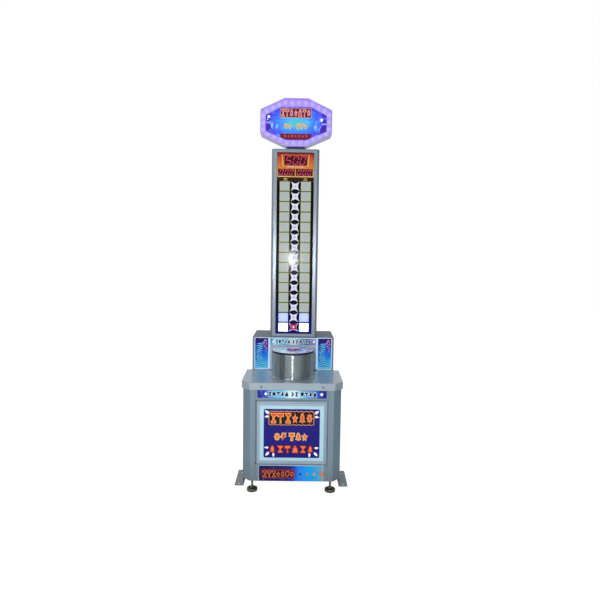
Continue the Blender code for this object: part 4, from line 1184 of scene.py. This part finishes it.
def sign_print(front):
    """Generic art on the lit sign: two rows of icons, a lower band, curls and end ornaments."""
    wall = (front, "cabinet", "sign_print")
    ink = partial(decal, wall)
    icons = [ANVIL, MALLET, BELL, STAR, WEIGHT, MALLET, BURST]
    inks = (SIGN.pink, SIGN.maroon, SIGN.pink, SIGN.red)
    span, z, tall = (-0.103, 0.0965), 2.4165, 0.05
    lettered(wall, "sign_art_top", icons, span, z, tall, inks, gap=0.0035, rim=0.0026, core=0.0042)
    shapes = icon_row([BURST, STAR], -0.079, -0.033, 2.329, 0.035, 0.009)
    shapes += icon_row([BELL, MALLET, STAR], 0.003, 0.071, 2.329, 0.035, 0.009)
    ink("sign_art_middle_rim", all_grown(shapes, 0.003), SIGN.gold)
    ink("sign_art_middle", shapes, SIGN.orange, 1)
    band = [(-0.108, 2.28), (0.103, 2.28), (0.103, 2.2562), (0.067, 2.241)]
    band += [(-0.067, 2.241), (-0.108, 2.2582)]
    ink("sign_art_band", [band], SIGN.maroon, 1)
    row = icon_row([CHEVRON, STAR] * 3 + [CHEVRON], -0.084, 0.08, 2.264, 0.018, 0.005)
    ink("sign_art_low", row, SIGN.red, 2)
    curls = []
    for x, z, reaches in ((-0.146, 2.332, (0.024, 0.016)), (0.148, 2.322, (0.028, 0.018))):
        for reach in reaches:
            curls.append(crescent(x, z, reach, 0.006, 100, 250))
            curls.append(crescent(x, z, reach, 0.005, 285, 400))
    curls.append(crescent(-0.1, 2.3, 0.04, 0.0035, 200, 290))
    curls.append(crescent(0.108, 2.296, 0.04, 0.0035, 250, 340))
    ink("sign_curls", curls, SIGN.sky)
    patches = [
        [(-0.202, 2.398), (-0.168, 2.415), (-0.17, 2.376), (-0.183, 2.364), (-0.202, 2.36)],
        [(-0.202, 2.342), (-0.186, 2.344), (-0.17, 2.328), (-0.166, 2.315), (-0.202, 2.299)],
        [(0.202, 2.399), (0.164, 2.418), (0.176, 2.396), (0.186, 2.388), (0.202, 2.383)],
        [(0.202, 2.376), (0.188, 2.378), (0.176, 2.36), (0.186, 2.352), (0.202, 2.35)],
        [(0.202, 2.338), (0.176, 2.333), (0.162, 2.318), (0.158, 2.28), (0.202, 2.2985)],
    ]
    ink("sign_end_patches", patches, SIGN.violet, 1)
    glints = [moved(star(6, 0.62), x, z, 0.0125) for x, z in ((-0.184, 2.389), (0.17, 2.371))]
    glints += [moved(star(4, 0.4), x, z, 0.006) for x, z in ((-0.192, 2.371), (0.196, 2.345))]
    ink("sign_glints", glints, SIGN.white, 2)
    bar = rounded(0.03, 0.0055, 0.0025, 2)
    ends = [moved(bar, x, z) for x, z in ((-0.185, 2.351), (0.185, 2.344))]
    ink("sign_end_bars", ends, SIGN.pale, 3)


def softened(outline, radius, steps=4):
    """The outline with an arc of this radius at every corner."""
    points = []
    for index, point in enumerate(outline):
        corner = Vector(point)
        back = (Vector(outline[index - 1]) - corner).normalized()
        ahead = (Vector(outline[(index + 1) % len(outline)]) - corner).normalized()
        half = back.angle(ahead) / 2
        centre = corner + (back + ahead).normalized() * radius / math.sin(half)
        start = corner + back * radius / math.tan(half) - centre
        turn = math.copysign(math.pi - 2 * half, back.cross(ahead))
        for step in range(steps + 1):
            angle = math.atan2(start.y, start.x) - turn * step / steps
            points.append(polar(radius, angle, centre.x, centre.y))
    return points


def octagon(right_half):
    """All eight corners of the sign from those of its right half, from the top down."""
    return right_half + [(-x, z) for x, z in right_half[::-1]]


def sign_border():
    """The lit border: a softly crowned acrylic frame whose lamps show through as paler spots."""
    low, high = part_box("sign_border")
    rim = [(0.079, high.z), (high.x, high.z - 0.0755), (high.x, low.z + 0.079), (0.065, low.z)]
    opening = [(0.0985, 2.455), (0.2045, 2.4), (0.2045, 2.296), (0.067, 2.238)]
    outer, inner = softened(octagon(rim), 0.015), softened(octagon(opening), 0.004)
    outer_line, inner_line = [], []
    for line, outline in ((outer_line, outer), (inner_line, inner)):
        for index, point in enumerate(outline):
            ahead = Vector(outline[(index + 1) % len(outline)])
            long = (Vector(outer[(index + 1) % len(outer)]) - Vector(outer[index])).length
            pieces = max(1, round(long / 0.006))
            line += [Vector(point).lerp(ahead, k / pieces) for k in range(pieces)]
    middle_line = [(a + b) / 2 for a, b in zip(outer_line, inner_line)]
    lamps = spaced(middle_line, 26)
    section = [(0, 0.014), (0, 0.004), (0.03, 0.0014), (0.08, 0.0005), (0.18, 0.0001)]
    section += [(0.32, 0), (0.5, 0), (0.68, 0), (0.82, 0.0001), (0.92, 0.0005)]
    section += [(0.97, 0.0014), (1, 0.003), (1, 0.014)]
    bm = bmesh.new()
    rows, glows = [], []
    for share, depth in section:
        row = []
        for a, b in zip(outer_line, inner_line):
            spot = a.lerp(b, share)
            row.append(bm.verts.new((spot.x, low.y + depth, spot.y)))
            near = min((spot - lamp).length for lamp in lamps)
            glows.append(math.exp(-((near / 0.016) ** 2)))
        rows.append(row)
    skin(bm, rows, True)
    border = piece("sign_border_lens", bm, border_glow(), "cabinet", smooth=40)
    attribute = border.data.attributes.new("lamp", "FLOAT", "POINT")
    attribute.data.foreach_set("value", glows)
    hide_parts("sign_border")


def spaced(line, count):
    """Points evenly spread along a closed line."""
    ahead = line[1:] + line[:1]
    lengths = [(b - a).length for a, b in zip(line, ahead)]
    step = sum(lengths) / count
    spots, gone, target = [], 0, step / 2
    for a, b, length in zip(line, ahead, lengths):
        while target <= gone + length:
            spots.append(a.lerp(b, (target - gone) / length))
            target += step
        gone += length
    return spots


def border_glow():
    lilac = (0.46, 0.34, 0.86)
    paint = Paint("sign_border_acrylic", lilac, 0.3, Coat_Weight=0.3, Coat_Roughness=0.1)
    lamp = paint.add("Attribute", attribute_name="lamp").outputs["Fac"]
    haze = paint.levels(paint.noise(9, 2), 0.35, 0.65)
    base = paint.mix(haze, (0.37, 0.18, 0.84), (0.3, 0.27, 0.8))
    paint.color(paint.mix(lamp, base, (0.49, 0.43, 0.95)))
    paint.bump(paint.noise(300, 2), 0.02, 0.0003)
    paint.glow(0.28)
    return paint.mat


# ---- stage


def make_camera():
    data = bpy.data.cameras.new("camera")
    data.lens = CAMERA_LENS
    data.sensor_width = 36
    camera = linked("camera", data)
    turn = Matrix.Rotation(-CAMERA_TURN, 4, "Z")
    tip = Matrix.Rotation(math.pi / 2 - CAMERA_PITCH, 4, "X")
    roll = Matrix.Rotation(CAMERA_ROLL, 4, "Z")
    camera.matrix_world = Matrix.Translation(CAMERA_AT) @ turn @ tip @ roll
    bpy.context.scene.camera = camera


def area_light(name, at, target, size, power, diffuse=True, glossy=True):
    data = bpy.data.lights.new(name, "AREA")
    data.shape = "RECTANGLE"
    data.size, data.size_y = size
    data.energy = power
    light = linked(name, data)
    light.location = at
    light.rotation_euler = (Vector(target) - Vector(at)).to_track_quat("-Z", "Y").to_euler()
    light.visible_diffuse = diffuse
    light.visible_glossy = glossy


def make_floor():
    """A pale studio floor, bright enough to run into the white backdrop."""
    half, level = 12, -0.0002
    paint = Paint("floor_pale", (0.58, 0.58, 0.59), 0.7)
    paint.use("Emission Color", (1, 1, 1))
    seen = paint.add("LightPath").outputs["Is Camera Ray"]
    paint.use("Emission Strength", paint.levels(seen, 0, 1, 0, 0.85))
    bm = bmesh.new()
    corners = ((-half, -half), (half, -half), (half, half), (-half, half))
    bm.faces.new([bm.verts.new((x, y, level)) for x, y in corners])
    meshed("floor", bm, paint.mat)


def make_world():
    """White to the eye, and in reflections a softer room: bright behind and dim to the sides."""
    world = bpy.data.worlds.new("studio")
    world.use_nodes = True
    sky = Nodes(world.node_tree)
    white = sky.tree.nodes["Background"]
    sky.feed(white.inputs["Color"], (1, 1, 1))
    parts = sky.add("SeparateXYZ", {"Vector": sky.add("TexCoord").outputs["Generated"]}).outputs
    lean = {0: parts["X"], 1: -0.25, 2: parts["Y"]}
    aside = sky.add("Math", lean, operation="MULTIPLY_ADD").outputs[0]
    greys = ((0.03, 0.42), (0.12, 0.26), (0.35, 0.17), (0.5, 0.22), (0.68, 0.4))
    stops = [(at, grey, 1.05 * grey, 1.12 * grey) for at, grey in greys]
    stops = [(0, 0.6, 0.63, 0.66), *stops, (1, 0.82, 0.84, 0.88)]
    room = sky.add("Background", {"Color": sky.ramp(sky.levels(aside, -1, 1), stops)}).outputs[0]
    seen = sky.add("LightPath").outputs["Is Camera Ray"]
    mixed = sky.add("MixShader", {"Fac": seen, 1: room, 2: white.outputs[0]}).outputs[0]
    sky.feed(sky.tree.nodes["World Output"].inputs["Surface"], mixed)
    bpy.context.scene.world = world


def make_lights():
    """A hard flash just left of the camera, its glint, and a soft key from the upper left."""
    area_light("flash", (-0.22, -3.15, 1.4), (0, 0, 1), (0.09, 0.07), 52, glossy=False)
    area_light("flash_glint", (-0.05, -3.2, 1.47), (0, 0, 1), (0.048, 0.11), 15, diffuse=False)
    area_light("soft_key", (-1.6, -2.8, 2.9), (0, 0, 1.2), (1.6, 1.6), 24)
    bpy.context.scene.view_settings.view_transform = "Standard"


# ---- all of it

make_camera()
make_floor()
make_world()
make_lights()
dress_base()
threaded_feet()
bracket_bolts()
door_art()
front_strips()
strike_drum()
dress_rear()
rear_details()
dress_tower()
dress_sign()
